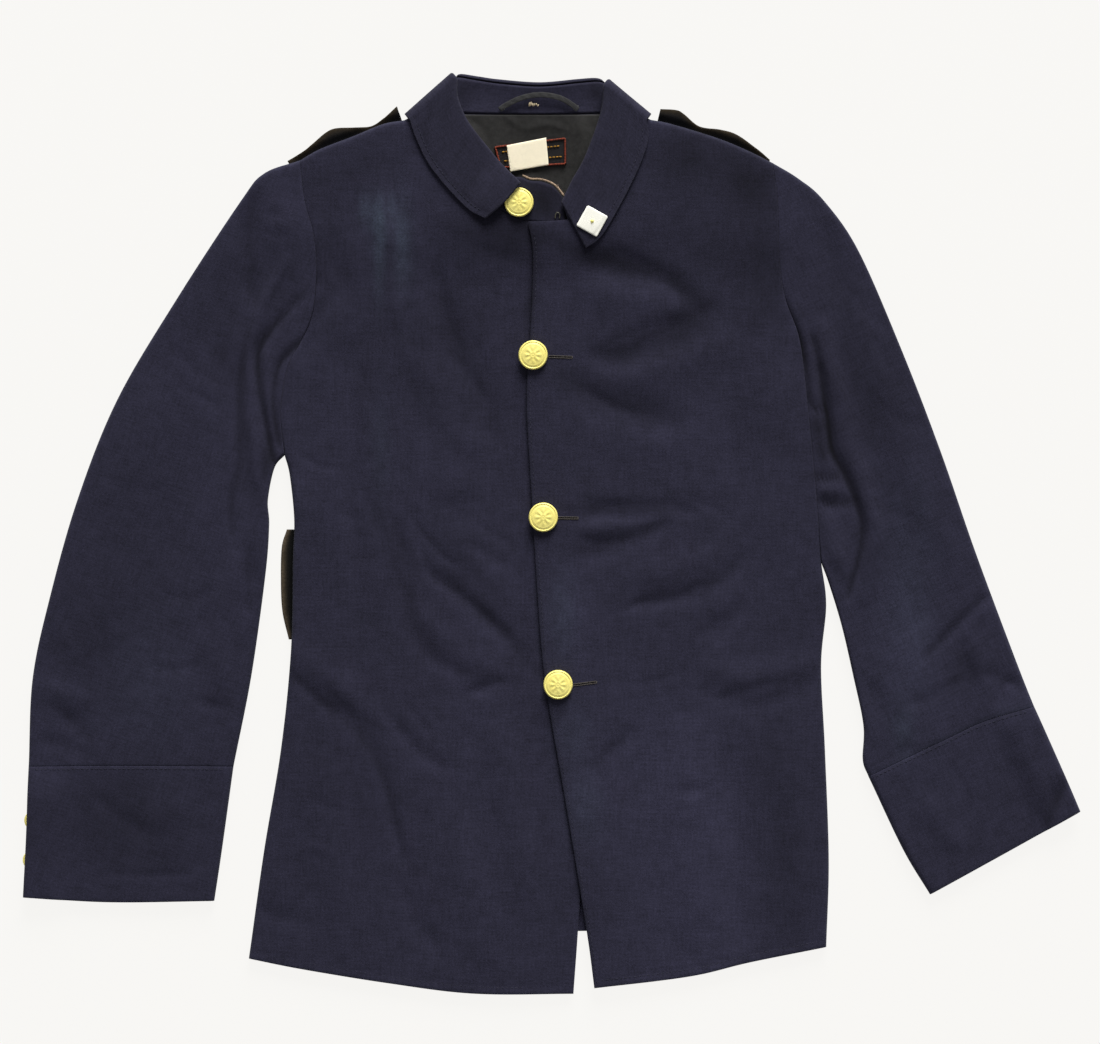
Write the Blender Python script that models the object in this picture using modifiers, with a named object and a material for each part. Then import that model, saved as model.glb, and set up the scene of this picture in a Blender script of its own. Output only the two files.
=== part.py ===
"""Cadet uniform jacket, buttoned and laid out flat on its back.

Every piece of cloth is a thin wall. The plan of a panel is drawn between its four borders, its height
comes from the layers under it and from a table of folds, and Solidify gives it the cloth's thickness.
Sizes in the tables are millimetres: x to the right, y towards the collar and z up from the table.
Right and left in the names are the wearer's, so the right front lies at -x.
"""

import math
from collections import namedtuple

import bmesh
import bpy
import numpy as np

MM = 0.001

# Cloth
BODY_WALL = 2.0
BACK_WALL = 1.8
SLEEVE_WALL = 1.8
COLLAR_WALL = 1.8
STRAP_WALL = 1.8
TAB_WALL = 1.6
LINING_WALL = 1.0
LABEL_WALL = 0.8
BADGE_WALL = 1.0
LOOP_WALL = 1.0
SEAM_GAP = 0.3
LAYER_GAP = 0.35
FOLD_GAP = 0.8
ARM_GAP = 0.8
CUFF_GAP = 0.5

# Heights above the table
TOP = 6.8
UNDERLAP_DROP = 1.4
OVERLAP_RISE = 1.3
NECK_RISE = 2.2
SHOULDER_LIFT = 2.8
TAB_LIFT = 2.1
CUFF_LIFT = 4.8
CUFF_STEP = 0.6
TOP_FOLLOWS = 0.75
TROUGH_LIMIT = 2.0
RIDGE_SCALE = 1.5

# Rounded edges: how far in and how high each column of the round lies
ROUND = 3.4
ROUND_IN = (0.0, 0.0, 0.3, 1.0)
ROUND_EVEN = (0.0, 0.33, 0.66, 1.0)
ROUND_UP = (0.0, 0.22, 0.75, 1.0)
RIM_ROW = 3.0
# How rounded a fold still is two steps before its end, one step before, at the end and past it
ROUND_FADE = (1.0, 0.93, 0.5, 0.0)
FADE_ROW = 12.0

# Collar
LEAF_CLEAR = 0.6
ROLL_RADIUS = 1.25
LEAF_BACK_RISE = 2.5
LEAF_BACK_SLOPE = 22.0
ROLL_END = 0.6
STAND_DEPTH_RIGHT = 32.4
STAND_DEPTH_LEFT = 30.4
LEAF_END_LIFT = 4.4

# Buttons
BUTTON_RADIUS = 11.45
BUTTON_HEIGHT = 4.4
CUFF_BUTTON_RADIUS = 7.5
CUFF_BUTTON_HEIGHT = 4.1
BADGE_SIDE = 18.3
EDGING_RADIUS = 0.8
LOOP_HALF_WIDTH = 2.0
WIRE_RADIUS = 0.5

# Borders of the body, from the hem up
SIDE_RIGHT = [(-236, -333), (-224, -248), (-211, -170), (-203, -92), (-201.5, -22), (-200.5, 10),
              (-204, 44), (-208, 60)]
ARMHOLE_RIGHT = [(-208, 60), (-211, 95), (-205, 130), (-195, 149), (-186, 172), (-183, 204),
                 (-185, 232), (-192, 258), (-196, 290)]
SHOULDER_RIGHT = [(-196, 290), (-180, 299), (-154, 309), (-131, 318.3), (-113.4, 321.4)]
NECK_CORNER_RIGHT = (-100.2, 331.6)
NECK_RIGHT = [NECK_CORNER_RIGHT, (-96.5, 321), (-84, 295), (-70, 277), (-55, 262), (-42, 252.5),
              (-18, 242), (12, 240)]
EDGE_RIGHT = [(17.5, -360.6), (21, -312), (23, -271), (21, -209), (14, -84), (7, -2), (3, 103), (6, 170),
              (12, 240)]
HEM_RIGHT = [(-236, -333), (-196, -341), (-126, -352.4), (-60, -360.4), (17.5, -360.6)]

SIDE_LEFT = [(215, -324), (217, -256), (214, -170), (211, -104), (215, -57), (211, -24)]
ARMHOLE_LEFT = [(211, -24), (206, 41), (200, 101), (194, 150), (183, 182), (178, 215), (177, 255),
                (173, 288)]
SHOULDER_LEFT = [(173, 288), (155, 297), (131, 307), (94, 318.3), (77.0, 321.7)]
NECK_CORNER_LEFT = (66.9, 329.1)
NECK_LEFT = [NECK_CORNER_LEFT, (65.5, 318), (59, 298), (49.5, 277), (38, 259), (26, 248),
             (13, 243.3)]
LAP_LEFT = [(13, 243.3), (-2, 242.2), (-18, 242)]
EDGE_LEFT = [(33.8, -356), (27.6, -310), (11, -209), (-1, -140), (-8, -84), (-16, 41), (-19, 103),
             (-16, 158), (-14, 215), (-18, 242)]
HEM_LEFT = [(33.8, -356), (108, -347), (155, -336), (215, -324)]

HEM_BACK = [(-236, -333), (-150, -321), (24, -312), (130, -318), (215, -324)]
NECK_BACK = [(-96, 328.3), (-75, 327), (-17, 326), (45, 327), (62.5, 326.6)]

# Borders of the sleeves, from the cuff seam up
OUTER_RIGHT = [(-408, -183), (-405, -115), (-392, -53), (-370, 25), (-339, 103), (-293, 181),
               (-242, 259), (-224, 280), (-196, 290)]
INNER_RIGHT = [(-248, -183), (-234, -112), (-223, -34), (-220, 5), (-221, 25), (-216, 50),
               (-208, 60)]
CUFF_SEAM_RIGHT = [(-408, -183), (-328, -182.5), (-248, -183)]
CUFF_OUTER_RIGHT = [(-412, -285), (-409.5, -235), (-408, -183)]
CUFF_INNER_RIGHT = [(-263, -288), (-257, -248), (-248, -183)]
CUFF_HEM_RIGHT = [(-412, -285), (-345, -289), (-263, -288)]

OUTER_LEFT = [(377, -136), (360, -92), (331, -14), (304, 64), (274, 142), (240, 220), (213, 259),
              (193, 276), (173, 288)]
INNER_LEFT = [(248, -191), (243.5, -178), (244, -151), (236, -112), (227, -73), (217, -40),
              (211, -24)]
CUFF_SEAM_LEFT = [(248, -191), (264, -183), (308, -162), (338, -148), (377, -136)]
CUFF_OUTER_LEFT = [(413, -218), (401, -190), (377, -136)]
CUFF_INNER_LEFT = [(296, -283), (275, -248), (248, -191)]
CUFF_HEM_LEFT = [(296, -283), (355, -250.5), (413, -218)]

# Collar lines, each from the middle front to the fold at the shoulder, and round the back
ROLL_RIGHT = [(-23, 272), (-37, 286), (-48, 299), (-60, 314), (-67, 325), (-72.5, 340),
              (-73.2, 351.2)]
LEAF_RIGHT = [(-51, 244), (-64, 251), (-80, 267), (-95, 286), (-105, 306), (-110.2, 321.2)]
ROLL_LEFT = [(8, 257), (16, 274), (25, 290), (34, 313), (39.5, 332), (40.4, 346.1)]
LEAF_LEFT = [(27, 221), (38, 229), (48, 244), (61, 268), (71, 290), (76, 308), (74.4, 321.1)]
ROLL_BACK = [(-73.2, 351.2), (-66, 355.5), (-40, 352), (-9, 349), (23, 352), (34, 352.5),
             (40.4, 346.1)]
LEAF_BACK = [(-110.2, 321.2), (-95, 311), (-60, 305), (-17, 303.5), (30, 305), (60, 311),
             (74.4, 321.1)]
FOLD_RIGHT = ((-77, 356), (-114, 326))
FOLD_LEFT = ((44, 351), (78, 326))
BAND_TOP = [(-23, 276.6), (-16, 273.8), (-9, 273.5), (-2.4, 271.7), (3, 268.4), (9, 261)]
BAND_START = 1
STAND_GAP = 1.1

BUTTON_AT = {1: (-25, 257), 2: (-14, 138), 3: (-6, 11.5), 4: (5.5, -119)}

Fold = namedtuple("Fold", "x1 y1 x2 y2 x3 y3 half_width height")

# Ridges and troughs: start, middle, end, half width and height, troughs below zero
FOLDS_LEFT_FRONT = [
    Fold(30, 229, 78, 208, 114, 190, 14, -2.2),
    Fold(22, 192, 60, 178, 104, 184, 22, 1.8),
    Fold(128, 174, 84, 162, 33, 144, 13, -2.4),
    Fold(40, 118, 95, 132, 142, 150, 18, 1.5),
    Fold(2, 125, 38, 102, 79, 87, 13, -2.0),
    Fold(10, 26, 62, 20, 117, 23, 9, -1.6),
    Fold(6, 5, 30, -9, 69, -6, 9, -1.8),
    Fold(14, -40, 18, -72, 24, -104, 18, 1.7),
    Fold(57, -55, 93, -54, 124, -38, 12, -1.7),
    Fold(60, -30, 96, -26, 120, -14, 12, 1.3),
    Fold(117, -94, 137, -80, 151, -58, 10, -1.5),
    Fold(120, -132, 155, -122, 191, -115, 10, -1.6),
    Fold(126, -152, 158, -143, 190, -138, 12, 1.2),
    Fold(24, -187, 42, -174, 63, -158, 10, -1.5),
    Fold(145, -160, 143, -225, 146, -298, 16, -1.8),
    Fold(108, -165, 106, -230, 110, -312, 22, 1.6),
    Fold(187, -147, 191, -220, 194, -300, 18, 1.2),
    Fold(27, -200, 33, -255, 44, -315, 16, 1.3),
    Fold(163, 160, 178, 70, 174, -4, 28, 1.4),
    Fold(138, 112, 149, 62, 142, 10, 18, -1.0),
]
FOLDS_RIGHT_FRONT = [
    Fold(-66, 231, -42, 222, -22, 214, 16, -2.0),
    Fold(-88, 206, -83, 166, -64, 126, 15, -1.8),
    Fold(-80, 152, -60, 118, -40, 86, 14, -1.8),
    Fold(-131, 272, -127, 216, -121, 165, 16, 1.8),
    Fold(-104, 236, -104, 190, -96, 150, 10, 1.2),
    Fold(-153, 180, -155, 64, -151, -50, 9, -1.2),
    Fold(-145, 34, -124, -22, -101, -78, 9, -1.4),
    Fold(-107, 22, -103, -12, -90, -39, 12, -1.6),
    Fold(-90, -39, -47, -66, -9, -106, 11, -2.0),
    Fold(-80, 4, -49, -30, -20, -70, 17, 1.7),
    Fold(-116, -50, -84, -76, -44, -108, 14, 1.3),
    Fold(-203, -112, -168, -144, -139, -165, 9, -2.0),
    Fold(-196, -94, -157, -125, -126, -146, 12, 1.7),
    Fold(-126, -137, -102, -158, -79, -177, 10, -1.4),
    Fold(-140, -176, -124, -232, -90, -320, 13, -1.9),
    Fold(-94, -193, -72, -256, -49, -328, 22, 1.6),
    Fold(-181, -186, -173, -248, -160, -320, 20, 1.4),
    Fold(-40, -147, -29, -209, -18, -290, 18, 1.1),
    Fold(-170, 226, -172, 184, -190, 140, 11, -1.4),
    Fold(-150, 236, -152, 196, -160, 150, 14, 1.2),
    Fold(-60, 78, -70, 50, -72, 22, 22, 1.1),
]
FOLDS_RIGHT_SLEEVE = [
    Fold(-232, 262, -241, 232, -234, 192, 13, -1.7),
    Fold(-214, 262, -206, 230, -204, 200, 12, 1.7),
    Fold(-198, 184, -225, 150, -226, 110, 7, -2.0),
    Fold(-208, 212, -222, 184, -236, 152, 8, 1.8),
    Fold(-240, 140, -244, 105, -243, 66, 8, 1.8),
    Fold(-204, 138, -215, 118, -214, 84, 6, -1.6),
    Fold(-241, 60, -240, 20, -239, -26, 9, -1.2),
    Fold(-407, -131, -384, -122, -360, -135, 9, -1.7),
    Fold(-396, -62, -366, -84, -334, -92, 16, 1.5),
    Fold(-313, 105, -343, 10, -362, -92, 22, 1.5),
    Fold(-280, 66, -303, -22, -312, -118, 16, -1.4),
    Fold(-250, -22, -258, -100, -270, -162, 14, 1.3),
    Fold(-344, -196, -334, -218, -322, -232, 9, -1.2),
    Fold(-300, -196, -296, -230, -300, -270, 18, 1.2),
]
FOLDS_LEFT_SLEEVE = [
    Fold(201, 120, 209, 64, 222, 8, 10, -2.4),
    Fold(209, 114, 224, 52, 247, -2, 9, 2.2),
    Fold(247, -2, 246, -36, 234, -62, 9, 1.5),
    Fold(226, 6, 236, -24, 226, -50, 6, -1.8),
    Fold(183, 182, 195, 150, 200, 122, 7, -1.8),
    Fold(287, -88, 310, -74, 337, -49, 8, -1.9),
    Fold(284, -108, 311, -93, 344, -68, 9, 1.6),
    Fold(276, -124, 303, -119, 340, -124, 8, -1.6),
    Fold(233, 182, 272, 72, 311, -22, 20, 1.5),
    Fold(216, 156, 247, 72, 274, -20, 13, -1.4),
    Fold(249, -84, 257, -131, 262, -164, 12, 1.2),
    Fold(384, -233, 395, -213, 404, -196, 8, -1.8),
    Fold(292, -208, 305, -226, 320, -242, 14, 1.2),
]


def soft_step(t):
    """0 below 0, 1 above 1, with a smooth rise between."""
    t = np.clip(t, 0.0, 1.0)
    return t * t * (3.0 - 2.0 * t)


def smooth_line(knots, steps=16):
    """A dense line that runs smoothly through the knots."""
    k = np.array(knots, float)
    k = np.vstack([2 * k[0] - k[1], k, 2 * k[-1] - k[-2]])
    t = np.linspace(0.0, 1.0, steps, endpoint=False)[:, None]
    parts = []
    for a, b, c, d in zip(k, k[1:], k[2:], k[3:]):
        bend = (2 * a - 5 * b + 4 * c - d) * t**2 + (3 * b - a - 3 * c + d) * t**3
        parts.append(0.5 * (2 * b + (c - a) * t + bend))
    parts.append(k[-2][None])
    return np.vstack(parts)


def along(line, shares):
    """The points of a line at the given shares of its length."""
    run = np.concatenate([[0.0], np.cumsum(np.linalg.norm(np.diff(line, axis=0), axis=1))])
    reach = np.asarray(shares, float) * run[-1]
    return np.stack([np.interp(reach, run, line[:, k]) for k in range(line.shape[1])], axis=-1)


def even(knots, count):
    """count + 1 points, evenly spaced on the smooth line through the knots."""
    return along(smooth_line(knots), np.linspace(0.0, 1.0, count + 1))


def stepwise(points):
    """A border whose rows fall on its own points."""
    def at(shares):
        place = np.asarray(shares, float) * (len(points) - 1)
        return np.stack([np.interp(place, np.arange(len(points)), points[:, k])
                         for k in range(2)], axis=-1)
    return at


def flowing(*stretches):
    """A border of smooth stretches, read by its length."""
    line = np.vstack([smooth_line(knots) for knots in stretches])
    return lambda shares: along(line, shares)


def beside(line, distance):
    """A line moved sideways, to its left where the distance is above zero."""
    heading = np.gradient(line, axis=0)
    heading /= np.linalg.norm(heading, axis=1)[:, None]
    return line + distance * np.stack([-heading[:, 1], heading[:, 0]], axis=-1)


def distance_to(x, y, line):
    """How far each point lies from a line of straight steps."""
    least = np.full(np.shape(x), np.inf)
    for (ax, ay), (bx, by) in zip(line, line[1:]):
        dx, dy = bx - ax, by - ay
        t = np.clip(((x - ax) * dx + (y - ay) * dy) / (dx * dx + dy * dy), 0.0, 1.0)
        least = np.minimum(least, np.hypot(x - ax - t * dx, y - ay - t * dy))
    return least


def relief(x, y, folds):
    """The folds' height at each point, ridges above zero and troughs below."""
    height = np.zeros(np.shape(x))
    for f in folds:
        line = smooth_line([(f.x1, f.y1), (f.x2, f.y2), (f.x3, f.y3)], steps=4)
        scale = RIDGE_SCALE if f.height > 0 else 1.0
        height += scale * f.height * np.exp(-(distance_to(x, y, line) / f.half_width) ** 2)
    limited = -TROUGH_LIMIT * np.tanh(-height / TROUGH_LIMIT)
    return np.where(height < 0, limited, height)


def cuff_lift(x, y):
    """How far the two buttons under each cuff hold its outer edge off the table."""
    total = np.zeros(np.shape(x))
    for corner, top in ((CUFF_OUTER_RIGHT[0], CUFF_OUTER_RIGHT[-1]),
                        (CUFF_OUTER_LEFT[0], CUFF_OUTER_LEFT[-1])):
        up = np.subtract(top, corner) / math.dist(top, corner)
        side = 1.0 if corner[0] < 0 else -1.0
        across = side * ((x - corner[0]) * up[1] - (y - corner[1]) * up[0])
        upward = (x - corner[0]) * up[0] + (y - corner[1]) * up[1]
        total += (1 - soft_step((upward - 75) / 35)) * (1 - soft_step((across - 18) / 22))
    return CUFF_LIFT * total


def under_height(x, y):
    """The underside of the lowest cloth: on the table, or on the straps, tab and buttons."""
    shoulders = soft_step((y - 190) / 52) * (1 - soft_step((np.abs(x + 12) - 190) / 45))
    tab = soft_step((-148 - x) / 24) * soft_step((y + 146) / 50) * soft_step((62 - y) / 50)
    tab = tab * soft_step((x + 236) / 15)
    return SHOULDER_LIFT * shoulders + TAB_LIFT * tab + cuff_lift(x, y)


def smooth_top(x, y):
    """The upper cloth's outer height where it has no folds and no overlap."""
    reach = np.hypot((x + 17) / 100, (y - 295) / 62)
    neck = 1 - soft_step((reach - 1.0) / 0.7)
    return TOP + TOP_FOLLOWS * under_height(x, y) + NECK_RISE * neck


EDGE_LINE = smooth_line(EDGE_LEFT)


def past_edge(x, y):
    """How far each point lies to the right of the top front's edge."""
    return x - np.interp(y, EDGE_LINE[:, 1], EDGE_LINE[:, 0])


def calm(x, y):
    """1 where folds have their full height, less by the front edge, 0 under the collar."""
    collar = soft_step((np.hypot((x + 17) / 100, (y - 290) / 68) - 0.95) / 0.35)
    return collar * (0.35 + 0.65 * soft_step((np.abs(past_edge(x, y) - 6) - 18) / 30))


def right_front_height(x, y):
    """Outer height of the under front, which dips below the other along the middle."""
    dip = UNDERLAP_DROP * soft_step((past_edge(x, y) + 50) / 42)
    return smooth_top(x, y) - dip + calm(x, y) * relief(x, y, FOLDS_RIGHT_FRONT)


def left_front_height(x, y):
    """Outer height of the top front, which lies on the other along the middle."""
    rise = OVERLAP_RISE * (1 - soft_step((past_edge(x, y) - 28) / 50))
    folds = FOLDS_LEFT_FRONT
    near = calm(x, y) * relief(x, y, folds)
    shared = calm(x, y) * relief(x, y, FOLDS_RIGHT_FRONT)
    mix = soft_step((past_edge(x, y) - 24) / 24)
    lap = np.maximum(near, 0) * (1 - mix) + np.maximum(shared, 0) * (1 - mix)
    return smooth_top(x, y) + rise + near * mix + lap


def right_sleeve_height(x, y):
    return smooth_top(x, y) + relief(x, y, FOLDS_RIGHT_SLEEVE)


def left_sleeve_height(x, y):
    return smooth_top(x, y) + relief(x, y, FOLDS_LEFT_SLEEVE)


def seam_height(x, y):
    """Half way up the side, where the upper and the lower cloth meet."""
    return 0.5 * (under_height(x, y) + smooth_top(x, y))


def coons(u, v, left, right, bottom, top):
    """Plan points of a panel, blended from its four borders."""
    lo, hi = left(v), right(v)
    down, up = bottom(u), top(u)
    u, v = u[..., None], v[..., None]
    corners = ((1 - u) * (1 - v) * bottom(0.0) + u * (1 - v) * bottom(1.0)
               + (1 - u) * v * top(0.0) + u * v * top(1.0))
    return (1 - u) * lo + u * hi + (1 - v) * down + v * up - corners


def lead_in(rounded):
    """Distances from an edge of the columns that round it, where rounded runs from 0 to 1."""
    return ROUND * (np.outer(rounded, ROUND_IN) + np.outer(1 - rounded, ROUND_EVEN))


def material(name, colour, roughness=0.9, metallic=0.0):
    made = bpy.data.materials.new(name)
    made.use_nodes = True
    shader = made.node_tree.nodes["Principled BSDF"]
    shader.inputs["Base Color"].default_value = (*colour, 1.0)
    shader.inputs["Roughness"].default_value = roughness
    shader.inputs["Metallic"].default_value = metallic
    return made


def add_object(name, mesh, finish):
    made = bpy.data.objects.new(name, mesh)
    made.data.materials.append(finish)
    jacket.objects.link(made)
    return made


def cloth_from(name, points, wall, finish, closed=False, faces_down=False):
    """A wall of cloth through a grid of outer points (rows, columns, xyz), in millimetres."""
    rows, columns = points.shape[:2]
    mesh = bpy.data.meshes.new(name)
    bm = bmesh.new()
    bmesh.ops.create_grid(bm, x_segments=columns - 1, y_segments=rows - 1, size=1.0)
    for vert in bm.verts:
        column = round((vert.co.x + 1) / 2 * (columns - 1))
        row = round((vert.co.y + 1) / 2 * (rows - 1))
        vert.co = points[row, column] * MM
    if closed:
        bmesh.ops.remove_doubles(bm, verts=bm.verts, dist=1e-6)
    if faces_down:
        bmesh.ops.reverse_faces(bm, faces=bm.faces)
    bm.to_mesh(mesh)
    bm.free()
    mesh.shade_smooth()
    made = add_object(name, mesh, finish)
    solid = made.modifiers.new("cloth", "SOLIDIFY")
    solid.thickness = wall * MM
    solid.offset = -1.0
    solid.use_even_offset = True
    return made


def panel_points(borders, rows, columns, heights, rounds, faces_down=False):
    """Outer points of a body panel whose sides and shoulders round down to the side seam.

    borders are left, right, bottom and top, and rounds tells for each edge, as a function of the
    share along it, how rounded it is. Each edge has a few extra rows or columns, which round it
    where it is a fold and keep it level where it is a seam.
    """
    left, right, bottom, top = borders
    round_left, round_right, round_top = rounds
    extra = len(ROUND_IN)
    main_v = np.linspace(0.0, 1.0, rows + 1)[:-1]
    rough_u = np.concatenate([np.zeros(extra), np.linspace(0, 1, columns + 1)[1:-1], np.ones(extra)])
    height = np.linalg.norm(top(rough_u) - bottom(rough_u), axis=1)
    last = 1.0 - lead_in(round_top(rough_u))[:, ::-1] / height[:, None]
    v = np.concatenate([np.repeat(main_v[None], len(rough_u), axis=0), last], axis=1).T
    v_row = v[:, len(rough_u) // 2]
    width = np.linalg.norm(right(v_row) - left(v_row), axis=1)[:, None]
    middle = np.repeat(np.linspace(0, 1, columns + 1)[None, 1:-1], len(v_row), axis=0)
    lead, tail = lead_in(round_left(v_row)) / width, lead_in(round_right(v_row)) / width
    u = np.concatenate([lead, middle, 1.0 - tail[:, ::-1]], axis=1)
    plan = coons(u, v, left, right, bottom, top)
    x, y = plan[..., 0], plan[..., 1]

    up = np.array(ROUND_UP)
    share = np.ones(u.shape)
    share[:, :extra] *= 1 - round_left(v_row)[:, None] * (1 - up[None, :])
    share[:, -extra:] *= 1 - round_right(v_row)[:, None] * (1 - up[None, ::-1])
    share[-extra:, :] *= 1 - round_top(rough_u)[None, :] * (1 - up[::-1][:, None])

    level = np.array(plan)
    level[:, :extra - 1] = level[:, extra - 1:extra]
    level[:, 1 - extra:] = level[:, -extra:1 - extra]
    level[1 - extra:] = level[-extra]
    surface = under_height if faces_down else heights
    flat = surface(level[..., 0], level[..., 1])
    start = seam_height(x, y) + (-0.5 if faces_down else 0.5) * FOLD_GAP
    z = start + (flat - start) * share
    return np.stack([x, y, z], axis=-1)


ARM_RIGHT_COUNT = 9
ARM_LEFT_COUNT = 11
SIDE_RIGHT_ROWS = 14
SIDE_LEFT_ROWS = 12
SHOULDER_COLUMNS = 4
NECK_RIGHT_COLUMNS = 8
NECK_LEFT_COLUMNS = 7
LAP_COLUMNS = 2
NECK_BACK_COLUMNS = 7
SLEEVE_ROWS = 13
CUFF_ROWS = 3


def chain(*stretches):
    """One line from stretches that start where the last one ended."""
    return np.vstack([stretches[0], *[k[1:] for k in stretches[1:]]])


def side_border(side, side_rows, armhole, arm_rows):
    """Side seam and armhole in one border, with two close rows under the armpit."""
    line = smooth_line(side)
    close = FADE_ROW / np.linalg.norm(np.diff(line, axis=0), axis=1).sum()
    shares = np.append(np.linspace(0.0, 1.0 - 2 * close, side_rows - 1), [1.0 - close, 1.0])
    return stepwise(chain(along(line, shares), even(armhole, arm_rows)))


def fading(end, count):
    """How rounded an edge is at each share: wholly at first, and not at all past the step end."""
    steps = [end - 2, end - 1, end, end + 1]
    return lambda shares: np.interp(np.asarray(shares, float) * count, steps, ROUND_FADE)


def no_round(shares):
    return np.zeros(np.shape(shares))


def build_fronts():
    corner = SHOULDER_COLUMNS + 1
    rows = SIDE_RIGHT_ROWS + ARM_RIGHT_COUNT
    columns = corner + NECK_RIGHT_COLUMNS
    top = chain(even(SHOULDER_RIGHT, SHOULDER_COLUMNS),
                np.array([SHOULDER_RIGHT[-1], NECK_CORNER_RIGHT], float),
                even(NECK_RIGHT, NECK_RIGHT_COLUMNS))
    borders = (side_border(SIDE_RIGHT, SIDE_RIGHT_ROWS, ARMHOLE_RIGHT, ARM_RIGHT_COUNT),
               flowing(EDGE_RIGHT), flowing(HEM_RIGHT), stepwise(top))
    rounds = (fading(SIDE_RIGHT_ROWS, rows), no_round, fading(corner, columns))
    points = panel_points(borders, rows, columns, right_front_height, rounds)
    cloth_from("front_right", points, BODY_WALL, navy)

    rows = SIDE_LEFT_ROWS + ARM_LEFT_COUNT
    columns = corner + NECK_LEFT_COLUMNS + LAP_COLUMNS
    top = chain(even(SHOULDER_LEFT, SHOULDER_COLUMNS),
                np.array([SHOULDER_LEFT[-1], NECK_CORNER_LEFT], float),
                even(NECK_LEFT, NECK_LEFT_COLUMNS), even(LAP_LEFT, LAP_COLUMNS))
    borders = (flowing(EDGE_LEFT),
               side_border(SIDE_LEFT, SIDE_LEFT_ROWS, ARMHOLE_LEFT, ARM_LEFT_COUNT),
               flowing(HEM_LEFT), stepwise(top[::-1]))
    from_shoulder = fading(corner, columns)
    rounds = (no_round, fading(SIDE_LEFT_ROWS, rows), lambda shares: from_shoulder(1 - shares))
    points = panel_points(borders, rows, columns, left_front_height, rounds)
    cloth_from("front_left", points, BODY_WALL, navy)


def build_back():
    rows = SIDE_RIGHT_ROWS + ARM_RIGHT_COUNT
    seam = even(NECK_BACK, NECK_BACK_COLUMNS)
    top = chain(even(SHOULDER_RIGHT, SHOULDER_COLUMNS),
                np.array([SHOULDER_RIGHT[-1], NECK_CORNER_RIGHT, NECK_BACK[0]], float), seam,
                np.array([NECK_BACK[-1], NECK_CORNER_LEFT, SHOULDER_LEFT[-1]], float),
                even(SHOULDER_LEFT, SHOULDER_COLUMNS)[::-1])
    columns = len(top) - 1
    borders = (side_border(SIDE_RIGHT, SIDE_RIGHT_ROWS, ARMHOLE_RIGHT, ARM_RIGHT_COUNT),
               side_border(SIDE_LEFT, SIDE_LEFT_ROWS, ARMHOLE_LEFT, ARM_LEFT_COUNT),
               flowing(HEM_BACK), stepwise(top))
    shoulder = fading(SHOULDER_COLUMNS + 1, columns)
    rounds = (fading(SIDE_RIGHT_ROWS, rows), fading(SIDE_LEFT_ROWS, rows),
              lambda shares: np.maximum(shoulder(shares), shoulder(1 - shares)))
    points = panel_points(borders, rows, columns, None, rounds, faces_down=True)
    cloth_from("back", points, BACK_WALL, navy, faces_down=True)


def tube_points(borders, rows, heights, top_shares, step=0.0):
    """Outer points of a flattened tube, once round: over the top and back underneath."""
    left, right, bottom, top = borders
    length = np.linalg.norm(left(1.0) - left(0.0))
    rim = RIM_ROW / length
    v = np.concatenate([[0.0, rim], np.linspace(0.0, 1.0, rows + 1)[1:-1], [1.0 - rim, 1.0]])
    width = np.linalg.norm(right(v) - left(v), axis=1)
    near = np.outer(1 / width, (0.0, 0.3 * ROUND, ROUND))
    inner = np.repeat(np.array(top_shares)[None, :], len(v), axis=0)
    over = np.concatenate([near, inner, 1 - near[:, ::-1]], axis=1)
    u = np.concatenate([over, over[:, ::-1][:, 1:]], axis=1)
    rise = np.concatenate([[0.0, 0.72, 1.0], np.ones(len(top_shares)), [1.0, 0.72, 0.0]])
    rise = np.concatenate([rise, rise[1:]])
    plan = coons(u, np.repeat(v[:, None], u.shape[1], axis=1), left, right, bottom, top)
    level = np.array(plan)
    level[0], level[-1] = level[1], level[-2]
    x, y = level[..., 0], level[..., 1]
    surface = heights(x, y) + step
    surface[:, over.shape[1]:] = under_height(x, y)[:, over.shape[1]:]
    middle = seam_height(x, y)
    z = middle + (surface - middle) * rise
    return np.concatenate([plan, z[..., None]], axis=-1)


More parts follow.
